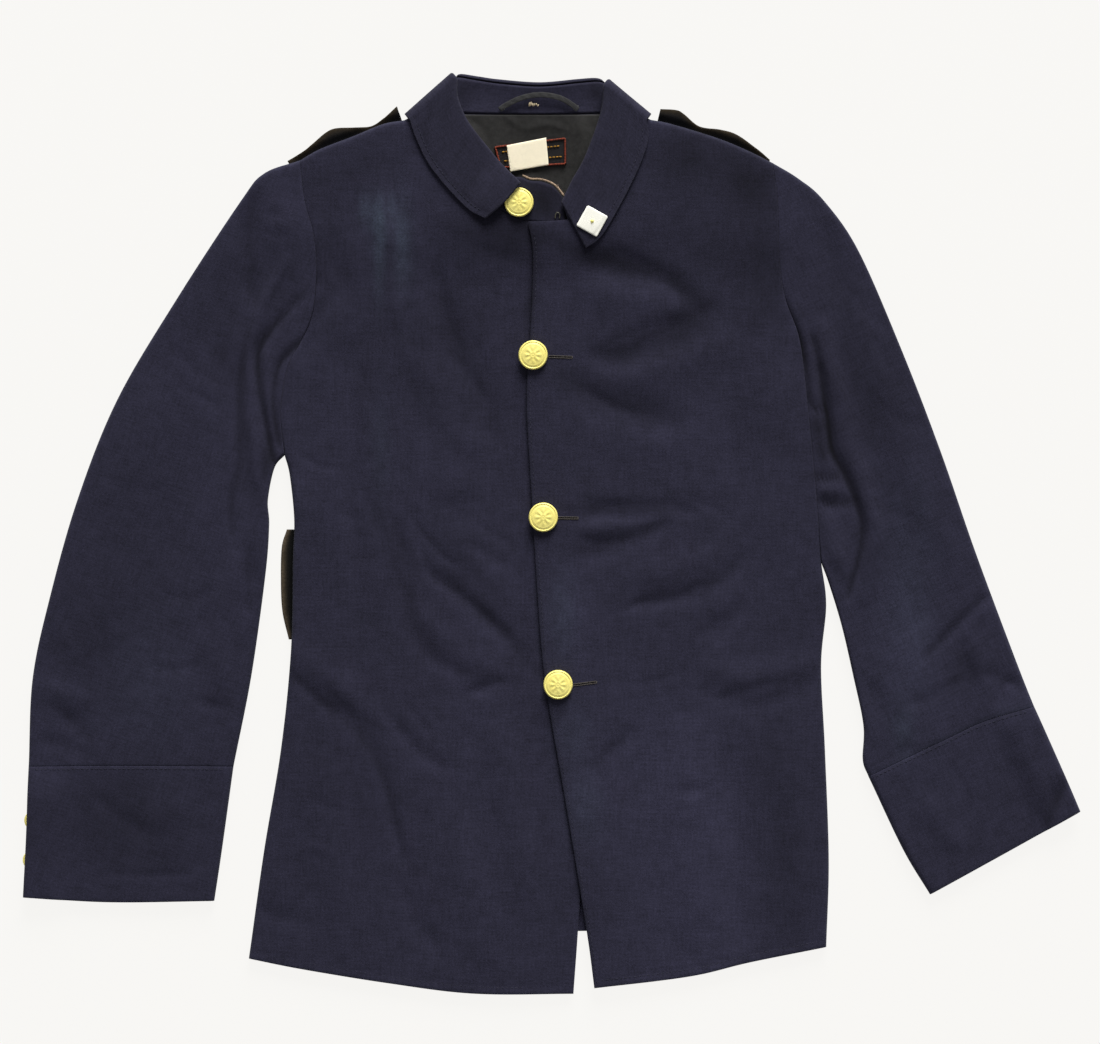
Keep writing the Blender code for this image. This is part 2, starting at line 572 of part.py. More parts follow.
def build_sleeves():
    sides = (
        ("right", ARMHOLE_RIGHT, ARM_RIGHT_COUNT, OUTER_RIGHT, INNER_RIGHT, CUFF_SEAM_RIGHT,
         CUFF_OUTER_RIGHT, CUFF_INNER_RIGHT, CUFF_HEM_RIGHT, right_sleeve_height, -1),
        ("left", ARMHOLE_LEFT, ARM_LEFT_COUNT, OUTER_LEFT, INNER_LEFT, CUFF_SEAM_LEFT,
         CUFF_OUTER_LEFT, CUFF_INNER_LEFT, CUFF_HEM_LEFT, left_sleeve_height, 1),
    )
    for side, armhole, count, outer, inner, seam, cuff_outer, cuff_inner, hem, heights, way in sides:
        ring = beside(even(armhole, count), -way * ARM_GAP)
        outer, inner = outer[:-1] + [tuple(ring[-1])], inner[:-1] + [tuple(ring[0])]
        shares = np.arange(1, count) / count
        seam_line = even(seam, count)
        cuff_line = beside(seam_line, -CUFF_GAP)
        cuff_ends = (cuff_line[0], cuff_line[-1]) if side == "right" else (cuff_line[-1], cuff_line[0])
        cuff_outer = cuff_outer[:-1] + [tuple(cuff_ends[0])]
        cuff_inner = cuff_inner[:-1] + [tuple(cuff_ends[1])]
        if side == "right":
            borders = (flowing(outer), flowing(inner), stepwise(seam_line), stepwise(ring[::-1]))
            cuff = (flowing(cuff_outer), flowing(cuff_inner), flowing(hem), stepwise(cuff_line))
        else:
            borders = (flowing(inner), flowing(outer), stepwise(seam_line), stepwise(ring))
            cuff = (flowing(cuff_inner), flowing(cuff_outer), flowing(hem), stepwise(cuff_line))
        points = tube_points(borders, SLEEVE_ROWS, heights, shares)
        cloth_from("sleeve_" + side, points, SLEEVE_WALL, navy, closed=True)
        points = tube_points(cuff, CUFF_ROWS, heights, shares, CUFF_STEP)
        cloth_from("cuff_" + side, points, SLEEVE_WALL, navy, closed=True)


LEAF_HALF = 0.5 * COLLAR_WALL
LEAF_BACK_MIDDLE = LEAF_HALF + 0.05
LEAF_TO_STAND = 2 * ROLL_RADIUS


def leaf_end_lift(x, y):
    """The right leaf's end stands up where the top button lies under it."""
    away = np.hypot(x - BUTTON_AT[1][0], y - BUTTON_AT[1][1])
    return LEAF_END_LIFT * (1 - soft_step((away - 14) / 28))


def leaf_height(x, y, side):
    """Middle of the leaf's wall where it lies on a front."""
    front = right_front_height if side == "right" else left_front_height
    lift = leaf_end_lift(x, y) if side == "right" else 0.0
    return front(x, y) + LEAF_CLEAR + LEAF_HALF + lift


def stand_height(x, y, side):
    """Middle of the stand's wall at the front, level with the front that it is sewn to."""
    front = right_front_height if side == "right" else left_front_height
    return front(x, y) - 0.5 * BODY_WALL


def back_rise(distance, share):
    """The back of the collar stands up a little towards its roll, away from the shoulder folds."""
    slope = np.clip(1 - distance / LEAF_BACK_SLOPE, 0, 1) ** 2
    return LEAF_BACK_RISE * slope * soft_step(np.minimum(share, 1 - share) / 0.2)


def fold_frame(fold):
    """A shoulder fold's direction towards the leaf's edge and its outward direction."""
    (ax, ay), (bx, by) = fold
    heading = np.array([bx - ax, by - ay]) / math.hypot(bx - ax, by - ay)
    outward = np.array([-heading[1], heading[0]])
    return heading, outward if outward[1] > 0 else -outward


def front_sheet(near, far, shares, side, below):
    """Points between two front lines of the collar; below is 0 for the leaf, 1 for the stand."""
    plan = near[:, None, :] + (far - near)[:, None, :] * shares[None, :, None]
    x, y = plan[..., 0], plan[..., 1]
    z = stand_height(x, y, side) if below else leaf_height(x, y, side)
    return np.stack([x, y, z], axis=-1)


def back_sheet(near, far, shares, below):
    plan = near[:, None, :] + (far - near)[:, None, :] * shares[None, :, None]
    along_back = np.linspace(0, 1, len(near))[:, None]
    distance = np.linalg.norm(far - near, axis=1)[:, None] * shares[None, :]
    z = LEAF_BACK_MIDDLE + below * LEAF_TO_STAND + back_rise(distance, along_back)
    return np.stack([plan[..., 0], plan[..., 1], z * np.ones(plan.shape[:2])], axis=-1)


def turn_sheet(near, far, shares, side, below, outward, angles):
    """Points round a shoulder fold, from the front sheet (angle 0) to the back sheet."""
    plan = near[None, :] + (far - near)[None, :] * shares[:, None]
    top = stand_height(*plan.T, side) if below else leaf_height(*plan.T, side)
    bottom = LEAF_BACK_MIDDLE + below * LEAF_TO_STAND
    radius, centre = 0.5 * (top - bottom), 0.5 * (top + bottom)
    out = []
    for angle in angles:
        xy = plan + outward[None, :] * (radius * math.sin(angle))[:, None]
        out.append(np.column_stack([xy, centre + radius * math.cos(angle)]))
    return np.array(out)


def inset(near, far, distance):
    """near moved towards far."""
    way = far - near
    return near + way / np.linalg.norm(way, axis=-1, keepdims=True) * distance


TURN_ANGLES = np.radians([36, 72, 108, 144, 175])
FRONT_STATIONS = 8
BACK_STATIONS = 9


def build_leaf():
    """The leaf with the round of the roll, from the right end over the back to the left end."""
    shares = np.linspace(1.0, 0.0, 5)
    reach = ROLL_RADIUS + LEAF_HALF
    lines = {"right": (even(ROLL_RIGHT, FRONT_STATIONS), even(LEAF_RIGHT, FRONT_STATIONS)),
             "left": (even(ROLL_LEFT, FRONT_STATIONS)[::-1], even(LEAF_LEFT, FRONT_STATIONS)[::-1])}
    back_roll, back_edge = even(ROLL_BACK, BACK_STATIONS), even(LEAF_BACK, BACK_STATIONS)

    sheets, ways, downs = [], [], []
    for part in ("right", "turn_right", "back", "turn_left", "left"):
        if part == "back":
            near, far = inset(back_roll, back_edge, reach)[1:-1], back_edge[1:-1]
            sheet = back_sheet(inset(back_roll, back_edge, reach), back_edge, shares, 0)[1:-1]
            way = (far - near) / np.linalg.norm(far - near, axis=1)[:, None]
            down = np.repeat([[0.0, 0.0, 1.0]], len(sheet), axis=0)
        elif part.startswith("turn"):
            side = part[5:]
            roll, edge = lines[side]
            end = -1 if side == "right" else 0
            heading, outward = fold_frame(FOLD_RIGHT if side == "right" else FOLD_LEFT)
            near, far = inset(roll[end], edge[end], reach), edge[end]
            angles = TURN_ANGLES if side == "right" else TURN_ANGLES[::-1]
            sheet = turn_sheet(near, far, shares, side, 0, outward, angles)
            way = np.repeat([heading], len(angles), axis=0)
            down = np.array([[*(-outward * math.sin(a)), -math.cos(a)] for a in angles])
        else:
            roll, edge = lines[part]
            near = inset(roll, edge, reach)
            sheet = front_sheet(near, edge, shares, part, 0)
            way = (edge - near) / np.linalg.norm(edge - near, axis=1)[:, None]
            down = np.repeat([[0.0, 0.0, -1.0]], len(sheet), axis=0)
        sheets.append(sheet)
        ways.append(way)
        downs.append(down)
    sheet, way, down = (np.concatenate(k) for k in (sheets, ways, downs))
    base = sheet[:, -1]
    way = np.column_stack([way, np.zeros(len(way))])
    roll_round = []
    for angle in np.radians([45, 90, 135, 180]):
        roll_round.append(base - way * ROLL_RADIUS * math.sin(angle)
                          + down * ROLL_RADIUS * (1 - math.cos(angle)))
    roll_round.append(roll_round[-1] + way * ROLL_END)
    points = np.concatenate([sheet, np.stack(roll_round, axis=1)], axis=1)
    return centred_cloth("collar_leaf", points[:, ::-1], COLLAR_WALL, navy_collar)


def centred_cloth(name, points, wall, finish, faces_down=False):
    """Cloth whose wall lies half on each side of the given points."""
    made = cloth_from(name, points, wall, finish, faces_down=faces_down)
    made.modifiers["cloth"].offset = 0.0
    return made


def build_stand():
    """The stand, from the end of its button tab over the back to the left front."""
    shares = np.linspace(0.0, 1.0, 4)
    reach = ROLL_RADIUS + LEAF_HALF + ROLL_END + STAND_GAP
    ends = {}
    for side, roll_knots, leaf_knots, fold, depth in (
            ("right", ROLL_RIGHT, LEAF_RIGHT, FOLD_RIGHT, STAND_DEPTH_RIGHT),
            ("left", ROLL_LEFT, LEAF_LEFT, FOLD_LEFT, STAND_DEPTH_LEFT)):
        roll, edge = even(roll_knots, FRONT_STATIONS), even(leaf_knots, FRONT_STATIONS)
        heading, outward = fold_frame(fold)
        upper = inset(roll, edge, reach)
        ends[side] = (upper, upper[-1], roll[-1] + heading * depth, outward)

    upper, near_right, seam_right, out_right = ends["right"]
    upper = smooth_line(np.vstack([BAND_TOP[::-1], upper[BAND_START:]]), steps=6)
    upper = along(upper, np.linspace(0, 1, NECK_RIGHT_COLUMNS + 1))
    lower = beside(even(NECK_RIGHT, NECK_RIGHT_COLUMNS)[::-1], -SEAM_GAP)
    lower[-1] = seam_right
    right = front_sheet(upper, lower, shares, "right", 1)
    turn_right = turn_sheet(near_right, seam_right, shares, "right", 1, out_right, TURN_ANGLES)

    upper, near_left, seam_left, out_left = ends["left"]
    upper = along(upper, np.linspace(0, 1, NECK_LEFT_COLUMNS + 1))
    lower = beside(even(NECK_LEFT, NECK_LEFT_COLUMNS)[::-1], SEAM_GAP)
    lower[-1] = seam_left
    left = front_sheet(upper, lower, shares, "left", 1)[::-1]
    turn_left = turn_sheet(near_left, seam_left, shares, "left", 1, out_left, TURN_ANGLES[::-1])

    lower = even(NECK_BACK, NECK_BACK_COLUMNS) + np.array([0.0, LAYER_GAP])
    count = NECK_BACK_COLUMNS + 2
    upper = inset(even(ROLL_BACK, count), even(LEAF_BACK, count), reach)
    lower = np.vstack([seam_right, lower, seam_left])
    upper[0], upper[-1] = near_right, near_left
    back = back_sheet(upper, lower, shares, 1)[1:-1]
    points = np.concatenate([right, turn_right, back, turn_left, left])
    return centred_cloth("collar_stand", points, COLLAR_WALL, navy_collar)


def turned(name, profile, steps, finish, at, flipped=False):
    """A turned piece: radius and height pairs, from the top's centre to the bottom's."""
    mesh = bpy.data.meshes.new(name)
    bm = bmesh.new()
    verts = [bm.verts.new((r * MM, 0.0, z * MM)) for r, z in profile]
    for a, b in zip(verts, verts[1:]):
        bm.edges.new((a, b))
    bm.to_mesh(mesh)
    bm.free()
    made = add_object(name, mesh, finish)
    screw = made.modifiers.new("turn", "SCREW")
    screw.steps = screw.render_steps = steps
    screw.use_merge_vertices = True
    screw.merge_threshold = 1e-5
    made.location = [c * MM for c in at]
    if flipped:
        made.rotation_euler = (math.pi, 0.0, 0.0)
    return made


def button_profile(radius, height):
    """A domed front over a rolled rim, with a flat back."""
    return [(0.0, height), (0.36 * radius, 0.95 * height), (0.68 * radius, 0.76 * height),
            (0.9 * radius, 0.46 * height), (radius, 0.22 * height), (0.985 * radius, 0.05 * height),
            (0.93 * radius, 0.0), (0.0, 0.0)]


def highest_under(x, y, radius, height):
    """The highest cloth under a disc."""
    angles = np.linspace(0, 2 * math.pi, 12, endpoint=False)
    px = np.concatenate([[x], x + radius * np.cos(angles), x + 0.5 * radius * np.cos(angles)])
    py = np.concatenate([[y], y + radius * np.sin(angles), y + 0.5 * radius * np.sin(angles)])
    return float(np.max(height(px, py)))


def fronts_top(x, y):
    """Outer height of whichever front or tab is uppermost."""
    over = (past_edge(x, y) > 0) & (y < 242)
    return np.where(over, left_front_height(x, y), right_front_height(x, y))


def build_buttons():
    for number, (x, y) in BUTTON_AT.items():
        z = highest_under(x, y, BUTTON_RADIUS, fronts_top) + LAYER_GAP
        turned(f"front_button_{number}", button_profile(BUTTON_RADIUS, BUTTON_HEIGHT), 18, brass,
               (x, y, z))
    for side, hem, top in (("right", CUFF_OUTER_RIGHT[0], CUFF_OUTER_RIGHT[-1]),
                           ("left", CUFF_OUTER_LEFT[0], CUFF_OUTER_LEFT[-1])):
        up = np.subtract(top, hem) / math.dist(top, hem)
        inward = np.array([up[1], -up[0]]) * (1 if side == "right" else -1)
        depth = 5.6 if side == "right" else 10.0
        for number, upward in ((1, 29.0), (2, 60.0)):
            x, y = np.array(hem) + up * upward + inward * depth
            turned(f"cuff_button_{side}_{number}",
                   button_profile(CUFF_BUTTON_RADIUS, CUFF_BUTTON_HEIGHT), 16, brass,
                   (x, y, CUFF_BUTTON_HEIGHT), flipped=True)


TAB_INNER = -189.0
LINING_FROM = 250.0
LINING_LOWER = SHOULDER_LIFT + BACK_WALL + LAYER_GAP
LINING_UPPER = LINING_LOWER + LINING_WALL
LABEL_UPPER = LINING_UPPER + SEAM_GAP + LABEL_WALL
PATCH_UPPER = LABEL_UPPER + SEAM_GAP + LABEL_WALL


def level_piece(name, corners, z, wall, finish, columns=2, rows=2):
    """A flat piece between four corners: lower left, lower right, upper right, upper left."""
    a, b, c, d = (np.array(k, float) for k in corners)
    u = np.linspace(0, 1, columns + 1)[None, :, None]
    v = np.linspace(0, 1, rows + 1)[:, None, None]
    plan = (1 - v) * ((1 - u) * a + u * b) + v * ((1 - u) * d + u * c)
    points = np.concatenate([plan, np.full(plan.shape[:2] + (1,), z)], axis=-1)
    return cloth_from(name, points, wall, finish)


def build_neck_pieces():
    level_piece("neck_lining", ((-66, LINING_FROM), (44, LINING_FROM), (54, 325.5), (-84, 325.5)),
                LINING_UPPER, LINING_WALL, lining_black)
    level_piece("label", ((-40, 284), (12, 287), (12, 307.5), (-44.5, 300.5)), LABEL_UPPER,
                LABEL_WALL, label_black)
    level_piece("name_patch", ((-31.5, 283.5), (-2, 287), (-5, 307.5), (-33, 300.5)), PATCH_UPPER,
                LABEL_WALL, patch_white)

    knots = [(-40, 329.5), (-36, 332.5), (-23, 338.5), (-8, 341), (7, 338.5), (17, 333), (21, 329.5)]
    centre = even(knots, 14)
    left, right = beside(centre, LOOP_HALF_WIDTH), beside(centre, -LOOP_HALF_WIDTH)
    share = np.linspace(0, 1, len(centre))
    base = LEAF_HALF + LEAF_TO_STAND + LEAF_HALF + LAYER_GAP + LOOP_WALL
    z = base + LEAF_BACK_RISE * np.sin(math.pi * share)
    rows = np.stack([np.column_stack([right, z]), np.column_stack([left, z])])
    cloth_from("hanger_loop", rows, LOOP_WALL, satin_grey)


def build_band_edge():
    line = beside(even(BAND_TOP, 9), 3 * SEAM_GAP + EDGING_RADIUS)
    curve = bpy.data.curves.new("band_edge", "CURVE")
    curve.dimensions = "3D"
    curve.bevel_depth = EDGING_RADIUS * MM
    curve.bevel_resolution = 1
    curve.use_fill_caps = True
    spline = curve.splines.new("POLY")
    spline.points.add(len(line) - 1)
    for point, (x, y) in zip(spline.points, line):
        z = float(stand_height(x, y, "right"))
        point.co = (x * MM, y * MM, z * MM, 1.0)
    add_object("band_edge", curve, edging_tan)


def build_straps():
    """Straps that lie on the back of the shoulders and show beyond the shoulder line."""
    shapes = (
        ("shoulder_strap_right",
         [(-194.5, 297), (-186, 303.5), (-172, 313.5), (-158, 316), (-140, 318), (-128, 328.5),
          (-120.5, 332)],
         [(-187, 254), (-160, 266), (-130, 280), (-106, 292)], SHOULDER_RIGHT),
        ("shoulder_strap_left",
         [(171, 291), (160, 300), (145, 310.5), (132, 314), (116, 316.5), (104, 326), (86, 328.5)],
         [(168, 252), (130, 268), (100, 281), (76, 291)], SHOULDER_LEFT),
    )
    for name, outer, inner, shoulder in shapes:
        out_line, in_line = even(outer, 12), even(inner, 12)
        v = np.linspace(0, 1, 5)[:, None, None]
        plan = in_line[None] * (1 - v) + out_line[None] * v
        silhouette = smooth_line(shoulder)
        order = np.argsort(silhouette[:, 0])
        edge_y = np.interp(plan[..., 0], silhouette[order, 0], silhouette[order, 1])
        proud = plan[..., 1] - edge_y
        z = STRAP_WALL + 2.2 * soft_step(proud / 7)
        points = np.concatenate([plan, z[..., None]], axis=-1)
        if name.endswith("left"):
            points = points[:, ::-1]
        cloth_from(name, points, STRAP_WALL, strap_black)


def build_side_tab():
    outer = even([(-206.5, 2), (-210.5, -12), (-211.2, -38), (-210, -62), (-205, -84)], 8)
    inner = np.column_stack([np.full(len(outer), TAB_INNER), outer[:, 1]])
    u = np.linspace(0, 1, 4)[None, :, None]
    plan = outer[::-1][:, None, :] * (1 - u) + inner[::-1][:, None, :] * u
    points = np.concatenate([plan, np.full(plan.shape[:2] + (1,), TAB_WALL)], axis=-1)
    cloth_from("side_tab", points, TAB_WALL, strap_black)


def build_badge():
    """The white square and its rivet on the left end of the leaf, level with the cloth there."""
    centre = np.array([32.0, 242.0])
    turn = math.radians(-29)
    away = np.array([math.cos(turn), math.sin(turn)])
    up = np.array([-away[1], away[0]])
    half = 0.5 * BADGE_SIDE
    corners = [centre + half * (-away - up), centre + half * (away - up),
               centre + half * (away + up), centre + half * (-away + up)]
    u = np.linspace(0, 1, 5)[None, :, None]
    v = np.linspace(0, 1, 5)[:, None, None]
    a, b, c, d = corners
    plan = (1 - v) * ((1 - u) * a + u * b) + v * ((1 - u) * d + u * c)
    wall = BADGE_WALL
    x, y = plan[..., 0], plan[..., 1]
    z = leaf_height(x, y, "left") + LEAF_HALF + LAYER_GAP + wall
    cloth_from("collar_badge", np.stack([x, y, z], axis=-1), wall, badge_white)
    top = float(leaf_height(*centre, "left")) + LEAF_HALF + LAYER_GAP + wall
    turned("badge_rivet", [(0, 0.9), (0.9, 0.7), (1.3, 0.2), (1.3, 0.0), (0, 0.0)], 12, brass,
           (*centre, top + SEAM_GAP))


def build_hook():
    """A small wire hook that lies on the button tab by the left end of the leaf."""
    knots = [(3.2, 244.5), (3.6, 247.5), (5.2, 249.0), (6.8, 247.5), (6.6, 244.5)]
    line = even(knots, 8)
    curve = bpy.data.curves.new("collar_hook", "CURVE")
    curve.dimensions = "3D"
    curve.bevel_depth = WIRE_RADIUS * MM
    curve.bevel_resolution = 1
    curve.use_fill_caps = True
    spline = curve.splines.new("POLY")
    spline.points.add(len(line) - 1)
    top = float(np.max(right_front_height(line[:, 0], line[:, 1])))
    for point, (x, y) in zip(spline.points, line):
        point.co = (x * MM, y * MM, (top + SEAM_GAP + WIRE_RADIUS) * MM, 1.0)
    add_object("collar_hook", curve, brass)


for old in list(bpy.data.objects):
    bpy.data.objects.remove(old, do_unlink=True)
jacket = bpy.data.collections.new("cadet_jacket")
bpy.context.scene.collection.children.link(jacket)

navy = material("navy_wool", (0.024, 0.022, 0.037))
navy_collar = material("navy_wool_collar", (0.026, 0.024, 0.038))
lining_black = material("lining", (0.018, 0.018, 0.019), 0.8)
strap_black = material("black_cloth", (0.010, 0.010, 0.009), 0.8)
label_black = material("label", (0.012, 0.010, 0.011), 0.6)
patch_white = material("white_cloth", (0.75, 0.74, 0.70), 0.85)
satin_grey = material("loop_satin", (0.05, 0.05, 0.055), 0.4)
edging_tan = material("worn_edging", (0.42, 0.30, 0.22), 0.8)
badge_white = material("badge_white", (0.82, 0.82, 0.80), 0.6)
brass = material("gilt_brass", (0.85, 0.62, 0.22), 0.25, 1.0)

build_back()
build_fronts()
build_sleeves()
build_stand()
build_leaf()
build_band_edge()
build_neck_pieces()
build_straps()
build_side_tab()
build_buttons()
build_badge()
build_hook()
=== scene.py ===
"""Cadet uniform jacket, buttoned and laid out flat on its back, on a pale table.

Each piece of cloth is a thin shell on the form of its solid, with the creases of worn wool laid on it.
Sizes in the tables are millimetres: x to the right, y towards the collar and z up from the table.
Right and left in the names are the wearer's, so the right front lies at -x.
"""

import math

import bpy
import numpy as np
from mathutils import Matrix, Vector


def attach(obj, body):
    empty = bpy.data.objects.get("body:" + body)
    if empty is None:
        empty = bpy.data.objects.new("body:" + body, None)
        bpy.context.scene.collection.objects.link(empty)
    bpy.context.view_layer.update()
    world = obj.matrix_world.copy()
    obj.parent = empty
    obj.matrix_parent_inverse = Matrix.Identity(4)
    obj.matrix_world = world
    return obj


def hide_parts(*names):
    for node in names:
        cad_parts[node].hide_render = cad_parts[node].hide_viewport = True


MM = 0.001

# How thick the solids' cloth is, from which the heights are counted up, and the gaps between layers
BODY_WALL = 2.0
BACK_WALL = 1.8
COLLAR_WALL = 1.8
STRAP_WALL = 1.8
TAB_WALL = 1.6
LINING_WALL = 1.0
LABEL_WALL = 0.8
BADGE_WALL = 1.0
LOOP_WALL = 1.0
SEAM_GAP = 0.3
LAYER_GAP = 0.35
SEWN_GAP = 0.04

# How thick the scene's own cloth is
BODY_SHELL = 1.3
COLLAR_SHELL = 1.4
LINING_SHELL = 0.8
LABEL_SHELL = 0.6
LOOP_SHELL = 0.7
STRAP_SHELL = 1.5
TAB_SHELL = 1.3
BADGE_SHELL = 0.8

# Heights above the table and lifts, for each the place where it comes and the distance over which it comes
TOP = 6.8
TOP_FOLLOWS = 0.75
UNDERLAP_DROP, UNDERLAP_FADE = 1.4, (-50, 42)
OVERLAP_RISE, OVERLAP_FADE = 1.3, (28, 50)
LAP_FOLDS_FADE = (24, 24)
NECK_MIDDLE, NECK_HALF = -17, 100
NECK_RISE, NECK_RISE_AT, NECK_RISE_FADE = 2.2, (295, 62), (1.0, 0.7)
SHOULDER_LIFT, STRAPS_FROM, STRAPS_MIDDLE, STRAPS_TO = 2.8, (190, 52), -12, (190, 45)
TAB_LIFT, TAB_ACROSS, TAB_UP = 2.1, (-236, 15, -148, 24), (-146, 50, 62, 50)
CUFF_LIFT, CUFF_LIFT_UP, CUFF_LIFT_ACROSS = 4.8, (75, 35), (18, 22)
CUFF_STEP = 0.3

# Folds: how deep they get, and where they are calmer, under the collar and by the front edge
TROUGH_LIMIT = 2.7
RIDGE_SCALE = 1.5
COLLAR_CALM_AT, COLLAR_CALM_FADE = (290, 68), (0.95, 0.35)
EDGE_CALM, EDGE_CALM_MIDDLE, EDGE_CALM_FADE = 0.35, 6, (18, 30)
# Half widths from which a fold or painted shade wanders, and below which it keeps its strength to the end
WANDER_FROM = 5.0
LEVEL_BELOW = 2.0

# Rounded edges: how far in and how high each column of the round lies, and how much a cut edge rolls
ROUND_IN = 3.4 * np.array([0.0, 0.03, 0.12, 0.3, 0.6, 1.0])
ROUND_UP = np.array([0.0, 0.24, 0.475, 0.715, 0.917, 1.0])
ROUND_COLUMNS = len(ROUND_IN)
EDGE_ROLL = 0.5
# How rounded a fold still is two steps before its end, one step before, at the end and past it
ROUND_FADE = (1.0, 0.93, 0.5, 0.0)
FADE_ROW = 12.0
FRONT_EDGE_WEAR = 0.35

# Steps between the knots of the borders, fine rows or columns in each, and the meshes' rows and columns
ARM_RIGHT_COUNT = 9
ARM_LEFT_COUNT = 11
SIDE_RIGHT_ROWS = 14
SIDE_LEFT_ROWS = 12
SHOULDER_COLUMNS = 4
NECK_RIGHT_COLUMNS = 8
NECK_LEFT_COLUMNS = 7
LAP_COLUMNS = 2
NECK_BACK_COLUMNS = 7
FINE = 6
FRONT_RIGHT_GRID = (230, 84)
FRONT_LEFT_GRID = (230, 80)
BACK_GRID = (150, 100)
SLEEVE_RIGHT_GRID = (150, 56)
SLEEVE_LEFT_GRID = (165, 66)
CUFF_GRID = (34, 52)

# How far the sleeves' weave is turned from the body's, in degrees
SLEEVE_RIGHT_GRAIN = -18.0
SLEEVE_LEFT_GRAIN = 24.0

# Sewing: how far the stitches lie from their edges, and half width and depth of the seams' grooves
HEM_STITCH = 5.5
EDGE_STITCH = 2.6
CUFF_STITCH = 2.4
LEAF_STITCH = 4.6
HEM_GROOVE = (1.6, 0.35)
LEAF_GROOVE = (1.3, 0.35)
MIDDLE_SEAM_RIDGE = (1.2, -0.5)
SIDE_SEAM_RIDGE = (1.2, -0.4)
HEM_FACING = 34.0

# Collar
LEAF_CLEAR = 0.6
LEAF_HALF = 0.5 * COLLAR_WALL
LEAF_RIPPLE = 0.6
LEAF_BACK_RISE = 2.5
LEAF_BACK_SLOPE = 22.0
LEAF_BACK_ENDS = 0.2
LEAF_BACK_MIDDLE = LEAF_HALF + 0.05
LEAF_END_LIFT, LEAF_END_FADE = 4.4, (14, 28)
LEAF_END_BULGE, LEAF_END_ROWS = 1.6, 7
LEAF_SHARES = np.concatenate([[1.0, 0.985, 0.96], np.linspace(0.93, 0.0, 21)])
ROLL_RADIUS = 1.25
ROLL_END = 0.6
ROLL_ANGLES = np.radians([20, 45, 70, 95, 120, 150, 180])
ROLL_WORN, ROLL_COLUMNS = 0.3, slice(-30, -22)
LEAF_TO_STAND = 2 * ROLL_RADIUS
STAND_DEPTH_RIGHT = 32.4
STAND_DEPTH_LEFT = 30.4
STAND_GAP = 1.1
STAND_SHARES = np.linspace(0.0, 1.0, 14)
TURN_ANGLES = np.radians(np.linspace(8, 172, 14))
FRONT_STATIONS = 70
BACK_STATIONS = 66
# Wear on the outermost rows of an edge, from the outside in
WORN_ROWS = (1.0, 0.7, 0.35)

# Sewn threads: how far their ends are drawn in and how far stitches stand up, in radii
THREAD_TAPER = 0.35
STITCH_LIFT = 0.35

# Buttons and small pieces
LABEL_MARGIN = 0.035
PATCH_CLEAR = 0.7
BUTTON_RADIUS = 11.45
BUTTON_HEIGHT = 4.4
BUTTON_CLEAR = 0.2
# The button's rim from the dome out, round and in below, in shares of its radius and height
BUTTON_RIM = ((0.83, 0.70), (0.855, 0.675), (0.875, 0.71), (0.90, 0.755), (0.93, 0.75), (0.96, 0.66),
              (0.985, 0.48), (1.0, 0.30), (0.995, 0.15), (0.97, 0.04), (0.93, 0.0), (0.55, 0.0))
RIVET_PROFILE = ((0, 0.9), (0.5, 0.86), (0.9, 0.7), (1.15, 0.45), (1.3, 0.15), (1.3, 0.0), (0, 0.0))
CUFF_BUTTON_RADIUS = 7.5
CUFF_BUTTON_HEIGHT = 4.1
CUFF_BUTTONS_UP = (29.0, 60.0)
CUFF_BUTTONS_IN = {"right": 5.6, "left": 10.0}
BUTTON_AT = {1: (-25, 257), 2: (-14, 138), 3: (-6, 11.5), 4: (5.5, -119)}
BADGE_AT = (32.0, 242.0)
BADGE_TURN = -29
BADGE_SIDE = 18.3
BADGE_STRAIGHT = 0.86
BADGE_CORNER = 0.14
EDGING_RADIUS = 0.8
LOOP_HALF_WIDTH = 2.0
WIRE_RADIUS = 0.5

# Borders of the body, from the hem up
SIDE_RIGHT = [(-236, -333), (-224, -248), (-211, -170), (-203, -92), (-201.5, -22), (-200.5, 10),
              (-204, 44), (-208, 60)]
ARMHOLE_RIGHT = [(-208, 60), (-211, 95), (-205, 130), (-195, 149), (-186, 172), (-183, 204),
                 (-185, 232), (-192, 258), (-196, 290)]
SHOULDER_RIGHT = [(-196, 290), (-180, 299), (-154, 309), (-131, 318.3), (-113.4, 321.4)]
NECK_CORNER_RIGHT = (-100.2, 331.6)
NECK_RIGHT = [NECK_CORNER_RIGHT, (-96.5, 321), (-84, 295), (-70, 277), (-55, 262), (-42, 252.5),
              (-18, 242), (12, 240)]
EDGE_RIGHT = [(17.5, -360.6), (21, -312), (23, -271), (21, -209), (14, -84), (7, -2), (3, 103), (6, 170),
              (12, 240)]
HEM_RIGHT = [(-236, -333), (-196, -341), (-126, -352.4), (-60, -360.4), (17.5, -360.6)]

SIDE_LEFT = [(215, -324), (217, -256), (214, -170), (211, -104), (215, -57), (211, -24)]
ARMHOLE_LEFT = [(211, -24), (206, 41), (200, 101), (194, 150), (183, 182), (178, 215), (177, 255),
                (173, 288)]
SHOULDER_LEFT = [(173, 288), (155, 297), (131, 307), (94, 318.3), (77.0, 321.7)]
NECK_CORNER_LEFT = (66.9, 329.1)
NECK_LEFT = [NECK_CORNER_LEFT, (65.5, 318), (59, 298), (49.5, 277), (38, 259), (26, 248),
             (13, 243.3)]
LAP_LEFT = [(13, 243.3), (-2, 242.2), (-18, 242)]
EDGE_LEFT = [(33.8, -356), (27.6, -310), (11, -209), (-1, -140), (-8, -84), (-16, 41), (-19, 103),
             (-16, 158), (-14, 215), (-18, 242)]
HEM_LEFT = [(33.8, -356), (108, -347), (155, -336), (215, -324)]

